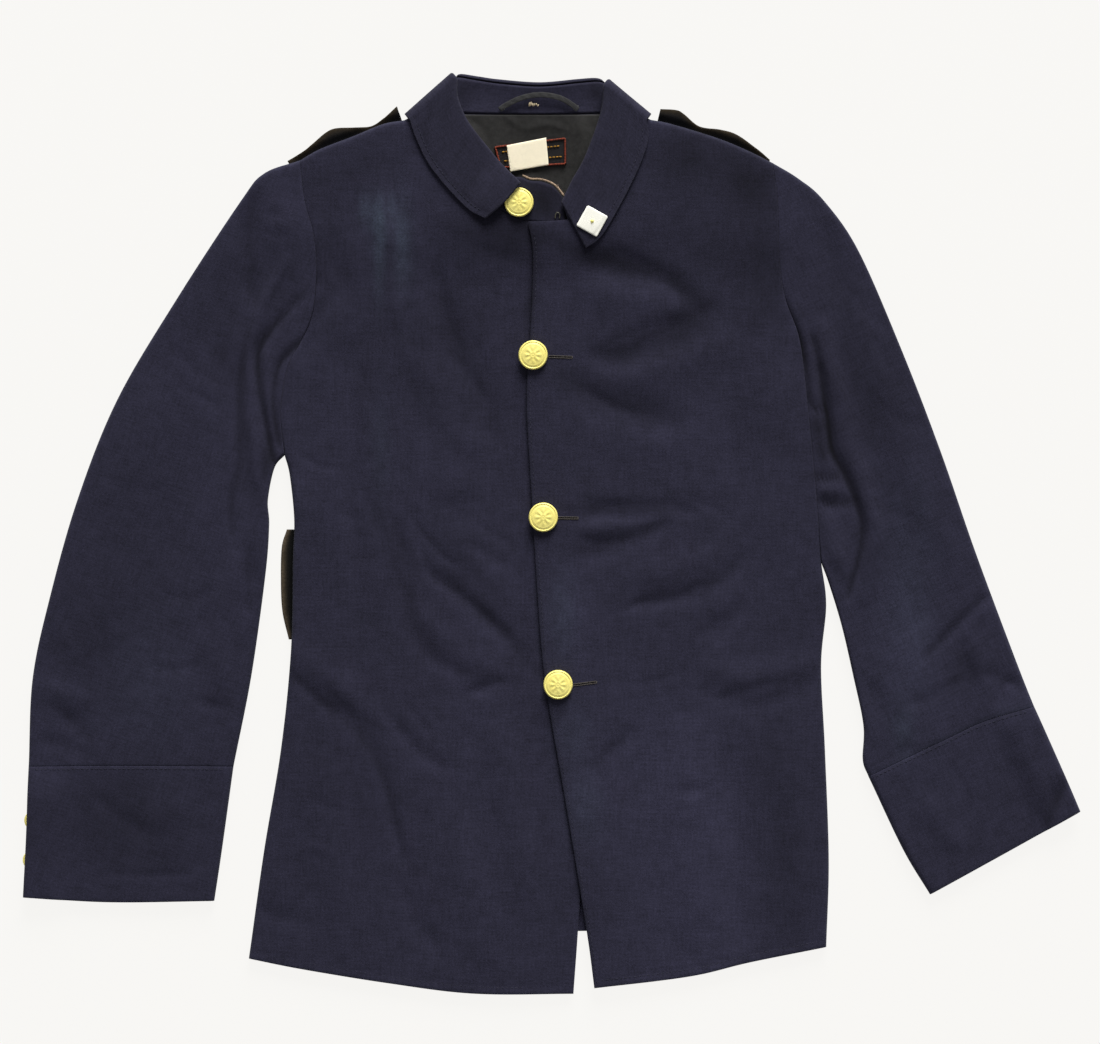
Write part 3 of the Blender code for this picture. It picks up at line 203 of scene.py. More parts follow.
HEM_BACK = [(-236, -333), (-150, -321), (24, -312), (130, -318), (215, -324)]
NECK_BACK = [(-96, 328.3), (-75, 327), (-17, 326), (45, 327), (62.5, 326.6)]

# Borders of the sleeves, from the cuff seam up
OUTER_RIGHT = [(-408, -183), (-405, -115), (-392, -53), (-370, 25), (-339, 103), (-293, 181),
               (-242, 259), (-224, 280), (-196, 290)]
INNER_RIGHT = [(-248, -183), (-234, -112), (-223, -34), (-220, 5), (-221, 25), (-216, 50),
               (-208, 60)]
CUFF_SEAM_RIGHT = [(-408, -183), (-328, -182.5), (-248, -183)]
CUFF_OUTER_RIGHT = [(-412, -285), (-409.5, -235), (-408, -183)]
CUFF_INNER_RIGHT = [(-263, -288), (-257, -248), (-248, -183)]
CUFF_HEM_RIGHT = [(-412, -285), (-345, -289), (-263, -288)]

OUTER_LEFT = [(377, -136), (360, -92), (331, -14), (304, 64), (274, 142), (240, 220), (213, 259),
              (193, 276), (173, 288)]
INNER_LEFT = [(248, -191), (243.5, -178), (244, -151), (236, -112), (227, -73), (217, -40),
              (211, -24)]
CUFF_SEAM_LEFT = [(248, -191), (264, -183), (308, -162), (338, -148), (377, -136)]
CUFF_OUTER_LEFT = [(413, -218), (401, -190), (377, -136)]
CUFF_INNER_LEFT = [(296, -283), (275, -248), (248, -191)]
CUFF_HEM_LEFT = [(296, -283), (355, -250.5), (413, -218)]

# Collar lines, each from the middle front to the fold at the shoulder, and round the back
ROLL_RIGHT = [(-23, 272), (-37, 286), (-48, 299), (-60, 314), (-67, 325), (-72.5, 340),
              (-73.0, 354.2)]
LEAF_RIGHT = [(-51, 244), (-64, 251), (-80, 267), (-95, 286), (-105, 306), (-110.2, 321.2)]
ROLL_LEFT = [(8, 257), (16, 274), (25, 290), (34, 313), (39.5, 332), (40.6, 348.9)]
LEAF_LEFT = [(27, 221), (38, 229), (48, 244), (61, 268), (71, 290), (76, 308), (74.4, 321.1)]
ROLL_BACK = [(-73.0, 354.2), (-72.0, 357.4), (-68, 357.8), (-56, 355.8), (-40, 353.6), (-9, 351.4),
             (20, 353.8), (34, 354.8), (39.6, 353.0), (40.6, 348.9)]
LEAF_BACK = [(-110.2, 321.2), (-95, 311), (-60, 305), (-17, 303.5), (30, 305), (60, 311),
             (74.4, 321.1)]
FOLD_RIGHT = ((-77, 356), (-114, 326))
FOLD_LEFT = ((44, 351), (78, 326))
BAND_TOP = [(-23, 276.6), (-16, 273.8), (-9, 273.5), (-2.4, 271.7), (3, 268.4), (9, 261)]
BAND_START = 1

# Ridges and troughs: half width, height (troughs below zero) and the line from one end to the other
FOLDS_LEFT_FRONT = [
    (11, -2.9, (-8, 226), (48, 206), (90, 192), (114, 176)),
    (19, 1.0, (22, 190), (58, 184), (92, 176)),
    (11, -2.6, (124, 172), (100, 152), (70, 140), (36, 138)),
    (15, 0.9, (40, 120), (95, 128), (142, 146)),
    (15, -2.1, (0, 123), (44, 100), (96, 82)),
    (18, 0.6, (6, 98), (52, 76), (104, 68)),
    (7, -1.7, (-4, 18), (48, 16), (112, 15)),
    (7, 0.8, (-4, 4), (44, 4), (96, 12)),
    (9, -2.0, (-6, -10), (26, -16), (52, -8), (88, 3)),
    (16, 1.0, (14, -40), (18, -72), (24, -104)),
    (8, -1.4, (62, -57), (94, -52), (130, -42), (148, -18)),
    (12, 0.9, (60, -34), (96, -30), (124, -20)),
    (7, -1.6, (119, -83), (136, -72), (149, -56)),
    (9, -1.0, (118, -124), (152, -136), (174, -130), (206, -120)),
    (10, 0.9, (122, -106), (156, -112), (204, -102)),
    (9, -1.8, (14, -188), (36, -178), (63, -156)),
    (5, -0.9, (94, -204), (110, -203), (127, -201)),
    (12, -1.7, (145, -150), (144, -225), (147, -318)),
    (20, 1.5, (104, -165), (106, -230), (110, -312)),
    (16, 1.1, (187, -147), (191, -220), (194, -300)),
    (14, 1.1, (27, -200), (33, -255), (44, -315)),
    (28, 1.2, (163, 160), (178, 70), (174, -4)),
    (16, -1.0, (138, 112), (149, 62), (142, 10)),
]
FOLDS_RIGHT_FRONT = [
    (14, -2.4, (-76, 238), (-40, 226), (-14, 214)),
    (12, -1.9, (-90, 196), (-74, 148), (-53, 100), (-42, 72)),
    (14, 1.1, (-110, 160), (-96, 118), (-78, 84)),
    (13, 1.6, (-131, 272), (-127, 216), (-121, 165)),
    (9, 1.0, (-104, 236), (-104, 190), (-96, 150)),
    (6, -1.2, (-158, 160), (-155, 64), (-152, -50), (-155, -110)),
    (6, -0.8, (-136, 150), (-137, 100), (-134, 50)),
    (7.5, -1.2, (-122, 12), (-110, -56), (-94, -94), (-66, -112)),
    (6.5, -1.9, (-100, -28), (-72, -47), (-42, -74), (-6, -117)),
    (6, -0.9, (-62, -11), (-48, -20), (-34, -28)),
    (15, 1.0, (-80, 4), (-49, -30), (-16, -72)),
    (12, 0.9, (-104, -60), (-78, -86), (-40, -112)),
    (5, -1.2, (-210, -106), (-182, -132), (-156, -153), (-134, -180), (-120, -226), (-117, -268)),
    (11, 1.0, (-200, -92), (-160, -126), (-128, -148)),
    (6, -1.2, (-130, -138), (-112, -164), (-80, -184)),
    (6, -1.2, (-68, -127), (-52, -124), (-34, -118)),
    (8, -1.4, (-121, -272), (-104, -304), (-86, -330)),
    (7, -1.0, (-226, -293), (-210, -300), (-196, -306)),
    (20, 1.5, (-94, -193), (-72, -256), (-49, -328)),
    (18, 1.2, (-181, -186), (-173, -248), (-160, -320)),
    (16, 1.1, (-40, -147), (-29, -209), (-18, -290)),
    (10, -1.3, (-170, 226), (-172, 184), (-190, 140)),
    (12, 1.1, (-150, 236), (-152, 196), (-160, 150)),
    (18, 1.2, (-60, 78), (-70, 50), (-72, 22)),
]
FOLDS_RIGHT_SLEEVE = [
    (9, -2.2, (-231, 266), (-238, 236), (-238, 205), (-229, 180)),
    (14, -1.2, (-252, 210), (-258, 160), (-256, 110)),
    (6, 1.5, (-210, 210), (-224, 176), (-234, 148), (-237, 120), (-235, 88), (-227, 40)),
    (4.6, -1.4, (-233, 166), (-240, 140), (-243, 108), (-243, 56), (-249, 28), (-250, -2)),
    (3.8, -2.0, (-193, 186), (-211, 167), (-226, 146), (-229, 130), (-227, 108), (-222, 82), (-217, 54)),
    (4, 0.9, (-222, 138), (-221, 104), (-216, 74)),
    (3.6, -1.7, (-190, 154), (-205, 139), (-213, 128), (-217, 102), (-212, 66)),
    (12, 0.8, (-216, 262), (-208, 230), (-206, 200)),
    (5, -1.3, (-238, -10), (-236, -36), (-235, -60)),
    (4.5, -0.9, (-264, -136), (-270, -200), (-277, -264)),
    (6, -1.6, (-382, -139), (-372, -150), (-364, -158)),
    (6, -0.9, (-400, -160), (-384, -166), (-366, -170)),
    (5, -0.7, (-282, -130), (-268, -134), (-252, -137)),
    (9, 0.9, (-407, -120), (-390, -122), (-366, -130)),
    (20, 1.3, (-313, 105), (-343, 10), (-362, -92)),
    (15, -1.1, (-280, 66), (-303, -22), (-312, -118)),
    (9, -0.9, (-268, -60), (-276, -90), (-280, -126)),
    (10, 1.0, (-250, -22), (-256, -100), (-262, -132)),
    (7, -0.9, (-352, -206), (-334, -222), (-312, -238)),
    (16, 1.1, (-300, -196), (-296, -230), (-300, -256)),
]
FOLDS_LEFT_SLEEVE = [
    (3.4, -2.0, (182, 182), (188, 166), (195, 146), (199, 126), (202, 98)),
    (4.0, -2.6, (204, 152), (209, 132), (212, 112), (216, 88), (220, 62), (231, 42), (239, 21), (243, 0),
     (239, -25), (232, -50)),
    (8, 1.6, (213, 160), (219, 132), (223, 110), (227, 88), (231, 64), (242, 42), (250, 20), (254, 0),
     (249, -26), (242, -54)),
    (3.2, -1.2, (202, 98), (208, 96), (214, 97)),
    (3.2, -1.3, (208, 43), (215, 42), (224, 44)),
    (4.2, -1.8, (209, 24), (222, 22), (236, 24)),
    (4, 1.0, (209, 33), (217, 32), (226, 33)),
    (8, 1.1, (216, 8), (222, -12), (226, -34)),
    (4.6, -1.4, (342, -50), (316, -74), (290, -100)),
    (7, 1.3, (341, -58), (335, -86), (334, -114)),
    (6, -0.9, (324, -88), (322, -108), (314, -124)),
    (6, -0.9, (338, -112), (350, -116), (366, -120)),
    (9, 1.3, (292, -74), (284, -110), (272, -160)),
    (5, -0.8, (318, -116), (300, -126), (276, -134)),
    (8, -1.0, (248, -116), (254, -130), (258, -142)),
    (9, -1.1, (216, 232), (222, 196), (232, 160)),
    (14, -0.5, (240, 140), (250, 96), (262, 50)),
    (18, 1.3, (233, 182), (272, 72), (311, -22)),
    (6, -2.2, (384, -231), (394, -211), (404, -193)),
    (12, 1.0, (292, -208), (305, -226), (320, -242)),
]

# Narrow creases, in the same form as the folds
CREASES_RIGHT_FRONT = [
    (3.4, -0.8, (-178, -120), (-158, -140), (-141, -152)),
    (3.2, -0.6, (-118, -126), (-104, -146), (-92, -160)),
    (3.8, -0.8, (-92, -36), (-60, -58), (-22, -92)),
    (4.0, -0.6, (-106, 20), (-104, -6), (-94, -30)),
    (3.6, -0.5, (-146, 34), (-132, -2), (-112, -58)),
    (4.5, -0.7, (-64, 228), (-44, 219), (-26, 211)),
    (4.2, -0.6, (-87, 204), (-82, 172), (-70, 140)),
    (4.0, -0.6, (-76, 140), (-62, 120), (-46, 94)),
    (3.6, -0.8, (-183, 204), (-176, 186), (-182, 160)),
    (4.5, 0.5, (-130, 262), (-128, 226), (-123, 176)),
    (3.5, -0.5, (-194, 60), (-182, 52), (-168, 50)),
    (4.4, -0.5, (-136, -180), (-122, -232), (-96, -300)),
    (4.0, 0.4, (-200, -250), (-186, -246), (-170, -250)),
    (5.0, -0.4, (-58, -150), (-50, -190), (-44, -240)),
    (3.0, -0.6, (-54, 4), (-38, -6), (-20, -16)),
    (3.0, -0.4, (-167, 15), (-154, 10), (-141, 10)),
    (3.0, -0.5, (-154, 135), (-148, 120), (-146, 108)),
    (3.0, -0.4, (-154, 135), (-160, 122), (-167, 114)),
    (3.2, -0.6, (-104, 4), (-88, -16), (-73, -27)),
    (3.2, -0.5, (-67, -129), (-54, -122), (-38, -116)),
    (3.2, -0.5, (-60, 150), (-52, 132), (-46, 112)),
    (3.4, -0.4, (-190, -204), (-176, -214), (-160, -218)),
]
CREASES_LEFT_FRONT = [
    (4.4, -0.7, (30, 228), (60, 216), (96, 196)),
    (4.2, -0.7, (120, 173), (84, 162), (46, 148)),
    (4.0, -0.7, (8, 122), (36, 104), (66, 90)),
    (3.2, -0.6, (14, 26), (52, 21), (98, 24)),
    (3.2, -0.7, (14, 2), (34, -8), (62, -6)),
    (4.0, -0.6, (64, -55), (93, -54), (118, -41)),
    (3.6, -0.6, (121, -92), (137, -79), (148, -62)),
    (3.6, -0.6, (128, -131), (155, -122), (186, -116)),
    (3.8, -0.6, (28, -184), (42, -174), (58, -161)),
    (4.0, 0.6, (16, -80), (19, -90), (20, -102)),
    (4.0, 0.6, (26, -206), (31, -216), (34, -228)),
    (5.0, -0.5, (145, -170), (143, -225), (145, -286)),
    (4.0, -0.5, (172, 214), (160, 200), (152, 178)),
    (5.0, -0.4, (186, 150), (172, 128), (160, 96)),
    (3.0, -0.6, (58, 206), (84, 196), (106, 184)),
    (3.0, -0.6, (70, 148), (92, 158), (112, 166)),
    (3.0, -0.5, (24, 112), (56, 96), (84, 90)),
    (2.8, -0.5, (30, 13), (60, 11), (92, 13)),
    (3.2, -0.4, (96, 30), (128, 18), (150, 4)),
    (3.0, -0.4, (46, -65), (60, -60), (72, -56)),
    (3.2, -0.5, (150, -30), (157, -56), (150, -84)),
    (3.2, -0.4, (60, -120), (84, -116), (104, -108)),
]
CREASES_RIGHT_SLEEVE = [
    (3.2, -1.0, (-222, 249), (-216, 247), (-210, 248)),
    (3.2, -0.9, (-222, 234), (-214, 232), (-204, 233)),
    (3.4, -0.6, (-242, 200), (-246, 170), (-250, 140)),
    (2.2, -0.6, (-350, -266), (-318, -268), (-283, -267)),
    (4.4, 0.4, (-392, -64), (-378, -84), (-370, -98)),
    (4.2, -0.5, (-262, -96), (-290, -108), (-316, -104)),
    (4.2, -0.5, (-256, -40), (-276, -52), (-300, -50)),
    (4.4, -0.5, (-300, 150), (-280, 128), (-262, 116)),
    (4.6, -0.4, (-352, 44), (-326, 32), (-300, 34)),
    (4.0, -0.6, (-288, 112), (-270, 104), (-256, 94)),
]
CREASES_LEFT_SLEEVE = [
    (2.6, -0.7, (196, 130), (206, 128), (214, 120)),
    (4.4, -0.5, (262, 96), (280, 84), (300, 88)),
    (4.4, -0.3, (262, 20), (276, 12), (292, 10)),
    (4.2, -0.5, (226, 196), (246, 172), (262, 160)),
    (4.0, -0.6, (250, 152), (258, 140), (262, 128)),
    (3.6, -0.6, (350, -126), (358, -118), (370, -128)),
    (4.0, -0.5, (310, -180), (322, -200), (326, -218)),
    (4.0, -0.4, (262, -178), (276, -172), (290, -168)),
]

# Painted shade: places where the wool's colour is darkened to stand for the shadow under the collar and its
# leaf,
# along the front edge, in creases and on slopes turned away from the lamp, and painted light where it is
# lighter:
# half width, amount (below zero where the wool is lighter) and the line
PAINTED_SHADE_FRONTS = [
    (62, -0.34, (60, -130), (112, -240), (96, -380)),
    (34, -0.10, (60, 50), (110, 64), (140, 30)),
    (42, -0.13, (-60, -110), (-56, -230), (-70, -350)),
    (25, 0.40, (84, 296), (130, 286), (174, 266)),
    (20, 0.18, (-206, 268), (-160, 278), (-116, 296)),
    (15, 0.30, (-78, 240), (-44, 226), (-16, 216)),
    (1.8, 0.25, (-18, 241), (-14, 215), (-16, 158), (-19, 103), (-16, 41), (-8, -84), (-1, -140),
     (11, -209), (27.6, -310), (33.8, -356)),
    (5, 0.30, (-15, 236), (-14, 215), (-16, 176), (-17, 150)),
    (24, 0.22, (150, 282), (166, 236), (168, 196), (160, 160)),
    (26, 0.16, (92, 250), (128, 224), (140, 196)),
    (10, 0.30, (-16, 268), (-6, 262), (2, 254)),
    (15, 0.36, (-56, 244), (-28, 238), (-2, 236)),
    (10, 0.42, (-4, 230), (48, 210), (88, 196), (116, 180)),
    (14, 0.36, (124, 177), (104, 158), (86, 147), (56, 142), (40, 141)),
    (13, 0.28, (2, 124), (46, 102), (90, 86)),
    (34, 0.12, (-60, 190), (-84, 130), (-70, 80)),
    (9, 0.13, (-142, 150), (-138, 60), (-126, -10), (-110, -60)),
    (18, -0.08, (64, 196), (92, 168), (84, 152)),
    (14, -0.18, (14, -30), (20, -72), (24, -110)),
    (13, -0.14, (26, -146), (28, -180), (32, -214)),
    (3.5, 0.18, (-4, 20), (48, 18), (108, 17)),
    (5, 0.20, (-5, -8), (26, -13), (50, -6), (86, 5)),
    (10, 0.20, (-88, 196), (-74, 148), (-53, 100), (-42, 72)),
    (6, 0.14, (-120, 10), (-110, -56), (-96, -90), (-74, -106)),
    (5, 0.24, (-98, -32), (-72, -48), (-46, -70), (-10, -111)),
    (3.4, 0.26, (-202, -112), (-182, -131), (-156, -152), (-135, -179), (-120, -226), (-117, -258)),
    (26, 0.10, (-190, -170), (-160, -200), (-140, -240)),
    (5, 0.15, (66, -54), (94, -50), (130, -40), (147, -18)),
    (26, 0.20, (172, -150), (178, -240), (182, -316)),
    (5, 0.15, (14, -186), (37, -175), (62, -154)),
    (14, 0.10, (-170, 254), (-184, 200), (-176, 150)),
    (16, 0.10, (160, 262), (168, 210), (176, 160)),
]
PAINTED_SHADE_RIGHT_SLEEVE = [
    (46, 0.24, (-410, -240), (-350, -226), (-280, -240)),
    (44, 0.11, (-330, 60), (-350, -60), (-360, -150)),
    (6, 0.26, (-231, 264), (-237, 235), (-237, 205), (-229, 180)),
    (2.4, 0.55, (-193, 186), (-211, 167), (-226, 146), (-229, 130), (-227, 108), (-222, 82), (-217, 54)),
    (2.2, 0.50, (-190, 154), (-205, 139), (-213, 128), (-217, 102), (-212, 66)),
    (5, 0.40, (-221, 78), (-219, 60), (-221, 42)),
    (3.2, 0.30, (-233, 166), (-240, 140), (-243, 108), (-243, 56), (-249, 28), (-250, -2)),
    (14, 0.14, (-252, 210), (-258, 160), (-254, 110)),
    (2.4, 0.22, (-238, -10), (-236, -36), (-235, -60)),
    (4, 0.20, (-382, -139), (-372, -150), (-362, -160)),
    (5, 0.16, (-398, -162), (-380, -168), (-356, -172)),
]
PAINTED_SHADE_LEFT_SLEEVE = [
    (34, 0.13, (244, 190), (270, 90), (296, 10)),
    (24, -0.22, (262, -40), (280, -100), (300, -150)),
    (2.6, 0.62, (182, 182), (188, 166), (195, 146), (199, 126), (202, 98)),
    (2.8, 0.66, (204, 152), (209, 132), (212, 112), (216, 88), (220, 62), (231, 42), (239, 21), (243, 0),
     (239, -25), (232, -50)),
    (7, 0.42, (206, 92), (208, 74), (212, 56)),
    (1.9, 0.50, (202, 98), (208, 96), (214, 97)),
    (1.9, 0.50, (208, 43), (215, 42), (224, 44)),
    (2.4, 0.50, (209, 24), (222, 22), (236, 24)),
    (3.4, 0.22, (336, -51), (316, -71), (294, -97)),
    (7, 0.13, (326, -84), (322, -104), (312, -124)),
    (6, 0.16, (306, -118), (330, -112), (352, -100)),
    (2.4, 0.24, (374, -138), (340, -146), (306, -162), (284, -171)),
    (18, 0.10, (238, 150), (243, 108), (252, 60)),
    (4.4, 0.42, (385, -230), (394, -210), (403, -193)),
    (12, 0.12, (216, 236), (222, 196), (234, 150)),
]
# Painted shade on the stand by the top button and at the ends of its back, and painted light along its back
PAINTED_SHADE_STAND = [
    (17, 0.50, (-38, 250), (-20, 256), (-6, 258), (8, 248)),
    (22, -0.42, (-78, 342), (-17, 336), (46, 338)),
    (7, 0.30, (-68, 352), (-70, 344), (-72, 332)),
    (8, 0.35, (35, 352), (36, 342), (36, 332)),
]

FOLDS_LINING = [
    (4.5, 0.8, (-70, 322), (-60, 308), (-52, 292)),
    (3.5, -0.6, (-62, 322), (-52, 312), (-47, 300)),
    (3.5, 0.6, (-34, 323), (-20, 315), (-4, 318), (12, 314)),
    (4.5, 0.7, (22, 322), (25, 304), (20, 284)),
    (3.5, -0.6, (32, 318), (33, 300), (28, 286)),
    (3.5, 0.5, (-30, 272), (-16, 277), (-4, 274)),
]

# The underside: shallow creases, and the back's three seams
CREASES_UNDER = [
    (7, 0.7, (-150, 240), (-110, 200), (-104, 150)),
    (7, 0.7, (120, 236), (90, 190), (88, 130)),
    (6, 0.6, (-170, 60), (-120, 40), (-60, 52)),
    (6, 0.6, (170, 10), (120, -4), (60, 10)),
    (6, 0.7, (-180, -110), (-130, -140), (-90, -130)),
    (6, 0.7, (70, -120), (120, -150), (180, -140)),
    (5, 0.6, (-330, 30), (-300, 10), (-270, 14)),
    (5, 0.6, (-380, -60), (-350, -80), (-300, -70)),
    (5, 0.6, (250, 90), (276, 70), (300, 76)),
    (5, 0.6, (270, -60), (310, -80), (340, -70)),
]
BACK_SEAM = [(-14, 320), (-13, 150), (-11, -60), (2, -308)]
BACK_SIDE_RIGHT = [(-150, 250), (-128, 110), (-118, -40), (-132, -318)]
BACK_SIDE_LEFT = [(122, 250), (100, 110), (96, -40), (122, -314)]

# Straps, side tab, hanger loop and collar hook
STRAP_OUTER_RIGHT = [(-206, 290), (-194, 297), (-186, 303.5), (-176, 312), (-168, 315.4), (-154, 316),
                     (-141, 317), (-131, 323), (-120.5, 332.5)]
STRAP_INNER_RIGHT = [(-187, 254), (-160, 266), (-130, 280), (-106, 292)]
STRAP_OUTER_LEFT = [(171, 291), (160, 300), (145, 310.5), (132, 314.4), (116, 316.8), (104, 326.4),
                    (98, 329.6), (85.5, 330.4)]
STRAP_INNER_LEFT = [(168, 252), (130, 268), (100, 281), (76, 291)]
TAB_OUTER = [(-206.5, 2), (-210.5, -12), (-211.2, -38), (-210, -62), (-205, -84)]
TAB_INNER_X = -189.0
LOOP_AT = [(-40, 329.5), (-36, 332.5), (-23, 338.5), (-8, 341), (7, 338.5), (17, 333), (21, 329.5)]
HOOK_AT = [(3.2, 244.5), (3.6, 247.5), (5.2, 249.0), (6.8, 247.5), (6.6, 244.5)]

# Faded places on the wool: centre, half sizes and amount, in metres
FADED_PLACES = (
    (-0.1345, 0.243, 0.0055, 0.017, 0.80),
    (-0.1335, 0.212, 0.0045, 0.028, 0.42),
    (-0.1155, 0.226, 0.0070, 0.030, 0.50),
    (-0.1450, 0.252, 0.0050, 0.012, 0.35),
    (-0.1240, 0.255, 0.0030, 0.010, 0.30),
    (-0.1330, 0.067, 0.007, 0.040, 0.12),
    (0.0090, -0.066, 0.011, 0.034, 0.17),
    (0.0180, -0.158, 0.012, 0.022, 0.15),
    (0.0260, -0.214, 0.014, 0.026, 0.15),
    (0.2800, -0.050, 0.020, 0.080, 0.12),
    (0.2740, -0.155, 0.008, 0.018, 0.25),
    (-0.3150, -0.115, 0.034, 0.052, 0.06),
)

# Distance from one diagonal rib of the twill to the next, in metres
TWILL_RIB = 0.0011

# The table, the lamp, the room and the camera, in metres and degrees
FLOOR_REACH = 9.0
FLOOR_STEPS = 24
FLOOR_DROP = 0.0004
KEY_SIZE = 11.5
KEY_POWER = 7700.0
KEY_AWAY = 20.0
KEY_TURN = 8.0
KEY_UP = 22.0
KEY_COLOUR = (1.0, 0.995, 0.985)
ROOM_LIGHT = 0.32
ROOM_COLOUR = (1.0, 0.998, 0.99, 1)
CAMERA_AT = (-0.00078, 0.0078)
CAMERA_AWAY = 3.0
CLOTH_LEVEL = 0.008
FIELD = 0.858
SENSOR = 36.0
FARTHEST = 30.0


# ---- lines and borders


def soft_step(t):
    """0 below 0, 1 above 1, with a smooth rise between."""
    t = np.clip(t, 0.0, 1.0)
    return t * t * (3.0 - 2.0 * t)


def rise_from(value, start, run):
    """0 up to the start, 1 from the run's end on, with a smooth rise between."""
    return soft_step((value - start) / run)


def within(value, low, low_run, high, high_run):
    """1 inside, with a smooth rise from the low end and a smooth fall to the high end."""
    return rise_from(value, low, low_run) * soft_step((high - value) / high_run)


def smooth_line(knots, steps=16):
    """A dense line that runs smoothly through the knots."""
    k = np.array(knots, float)
    k = np.vstack([2 * k[0] - k[1], k, 2 * k[-1] - k[-2]])
    t = np.linspace(0.0, 1.0, steps, endpoint=False)[:, None]
    parts = []
    for a, b, c, d in zip(k, k[1:], k[2:], k[3:]):
        bend = (2 * a - 5 * b + 4 * c - d) * t**2 + (3 * b - a - 3 * c + d) * t**3
        parts.append(0.5 * (2 * b + (c - a) * t + bend))
    parts.append(k[-2][None])
    return np.vstack(parts)


def along(line, shares):
    """The points of a line at the given shares of its length."""
    run = np.concatenate([[0.0], np.cumsum(np.linalg.norm(np.diff(line, axis=0), axis=1))])
    reach = np.asarray(shares, float) * run[-1]
    return np.stack([np.interp(reach, run, line[:, k]) for k in range(line.shape[1])], axis=-1)


def even(knots, count):
    """count + 1 points, evenly spaced on the smooth line through the knots."""
    return along(smooth_line(knots), np.linspace(0.0, 1.0, count + 1))


def stepwise(points):
    """A border whose rows fall on its own points."""
    def at(shares):
        place = np.asarray(shares, float) * (len(points) - 1)
        return np.stack([np.interp(place, np.arange(len(points)), points[:, k])
                         for k in range(2)], axis=-1)
    return at


def flowing(*stretches):
    """A border of smooth stretches, read by its length."""
    line = np.vstack([smooth_line(knots) for knots in stretches])
    return lambda shares: along(line, shares)


def leftward(line):
    """The direction to a line's left, at each of its points."""
    heading = np.gradient(line, axis=0)
    heading /= np.linalg.norm(heading, axis=1)[:, None]
    return np.stack([-heading[:, 1], heading[:, 0]], axis=-1)


def beside(line, distance):
    """A line moved sideways, to its left where the distance is above zero."""
    return line + distance * leftward(line)


def at_height(plan, z):
    """Points from their places in plan and their heights."""
    return np.concatenate([plan, z[..., None]], axis=-1)


def place_by(x, y, line):
    """How far each point lies from a line of straight steps, and how far along the line it is."""
    steps = np.hypot(*np.diff(line, axis=0).T)
    start = np.concatenate([[0.0], np.cumsum(steps)])
    least, share = np.full(np.shape(x), np.inf), np.zeros(np.shape(x))
    for k, ((ax, ay), (bx, by)) in enumerate(zip(line, line[1:])):
        dx, dy = bx - ax, by - ay
        t = np.clip(((x - ax) * dx + (y - ay) * dy) / (dx * dx + dy * dy), 0.0, 1.0)
        far = np.hypot(x - ax - t * dx, y - ay - t * dy)
        closer = far < least
        least = np.where(closer, far, least)
        share = np.where(closer, (start[k] + t * steps[k]) / start[-1], share)
    return least, share


def wander(x, y, half_width):
    """Points moved a little, so that wide folds and painted shades run unevenly."""
    if half_width < WANDER_FROM:
        return x, y
    return (x + 1.9 * np.sin(y / 19.0 + 0.7 * np.sin(x / 31.0)) + 0.8 * np.sin(y / 7.7 + x / 23.0),
            y + 1.7 * np.sin(x / 21.0 + 0.8 * np.sin(y / 27.0)) + 0.8 * np.sin(x / 8.3 - y / 29.0))


def fold_shape(x, y, knots, half_width):
    """A fold's or painted shade's strength from 0 to 1: weaker, narrower and uneven towards its ends."""
    x, y = wander(x, y, half_width)
    away, share = place_by(x, y, smooth_line(knots, steps=4))
    if half_width < LEVEL_BELOW:
        return np.exp(-(away / half_width) ** 2)
    swell = np.sin(math.pi * np.clip(share, 0.001, 0.999)) ** 0.6
    uneven = 1 + 0.22 * np.sin(9 * share + 0.3 * knots[0][0])
    narrowed = half_width * (0.66 + 0.34 * swell)
    return uneven * (0.42 + 0.58 * swell) * np.exp(-(away / narrowed) ** 2)


def relief(x, y, folds):
    """The folds' height at each point, ridges above zero and troughs below."""
    height = np.zeros(np.shape(x))
    for half_width, size, *knots in folds:
        scale = RIDGE_SCALE if size > 0 else 1.0
        height += scale * size * fold_shape(x, y, knots, half_width)
    limited = -TROUGH_LIMIT * np.tanh(-height / TROUGH_LIMIT)
    return np.where(height < 0, limited, height)


def cuff_lift(x, y):
    """How far the two buttons under each cuff hold its outer edge off the table."""
    total = np.zeros(np.shape(x))
    for corner, top in ((CUFF_OUTER_RIGHT[0], CUFF_OUTER_RIGHT[-1]),
                        (CUFF_OUTER_LEFT[0], CUFF_OUTER_LEFT[-1])):
        up = np.subtract(top, corner) / math.dist(top, corner)
        side = 1.0 if corner[0] < 0 else -1.0
        across = side * ((x - corner[0]) * up[1] - (y - corner[1]) * up[0])
        upward = (x - corner[0]) * up[0] + (y - corner[1]) * up[1]
        total += (1 - rise_from(upward, *CUFF_LIFT_UP)) * (1 - rise_from(across, *CUFF_LIFT_ACROSS))
    return CUFF_LIFT * total


def under_height(x, y):
    """The underside of the lowest cloth: on the table, or on the straps, tab and buttons."""
    shoulders = rise_from(y, *STRAPS_FROM) * (1 - rise_from(np.abs(x - STRAPS_MIDDLE), *STRAPS_TO))
    tab = within(x, *TAB_ACROSS) * within(y, *TAB_UP)
    return SHOULDER_LIFT * shoulders + TAB_LIFT * tab + cuff_lift(x, y)


def past_neck(x, y, middle_y, half_y):
    """How far out each point lies from the neck's middle; 1 is on an oval round it."""
    return np.hypot((x - NECK_MIDDLE) / NECK_HALF, (y - middle_y) / half_y)


def smooth_top(x, y):
    """The upper cloth's outer height where it has no folds and no overlap."""
    neck = 1 - rise_from(past_neck(x, y, *NECK_RISE_AT), *NECK_RISE_FADE)
    return TOP + TOP_FOLLOWS * under_height(x, y) + NECK_RISE * neck


EDGE_LINE = smooth_line(EDGE_LEFT)


def past_edge(x, y):
    """How far each point lies to the right of the top front's edge."""
    return x - np.interp(y, EDGE_LINE[:, 1], EDGE_LINE[:, 0])


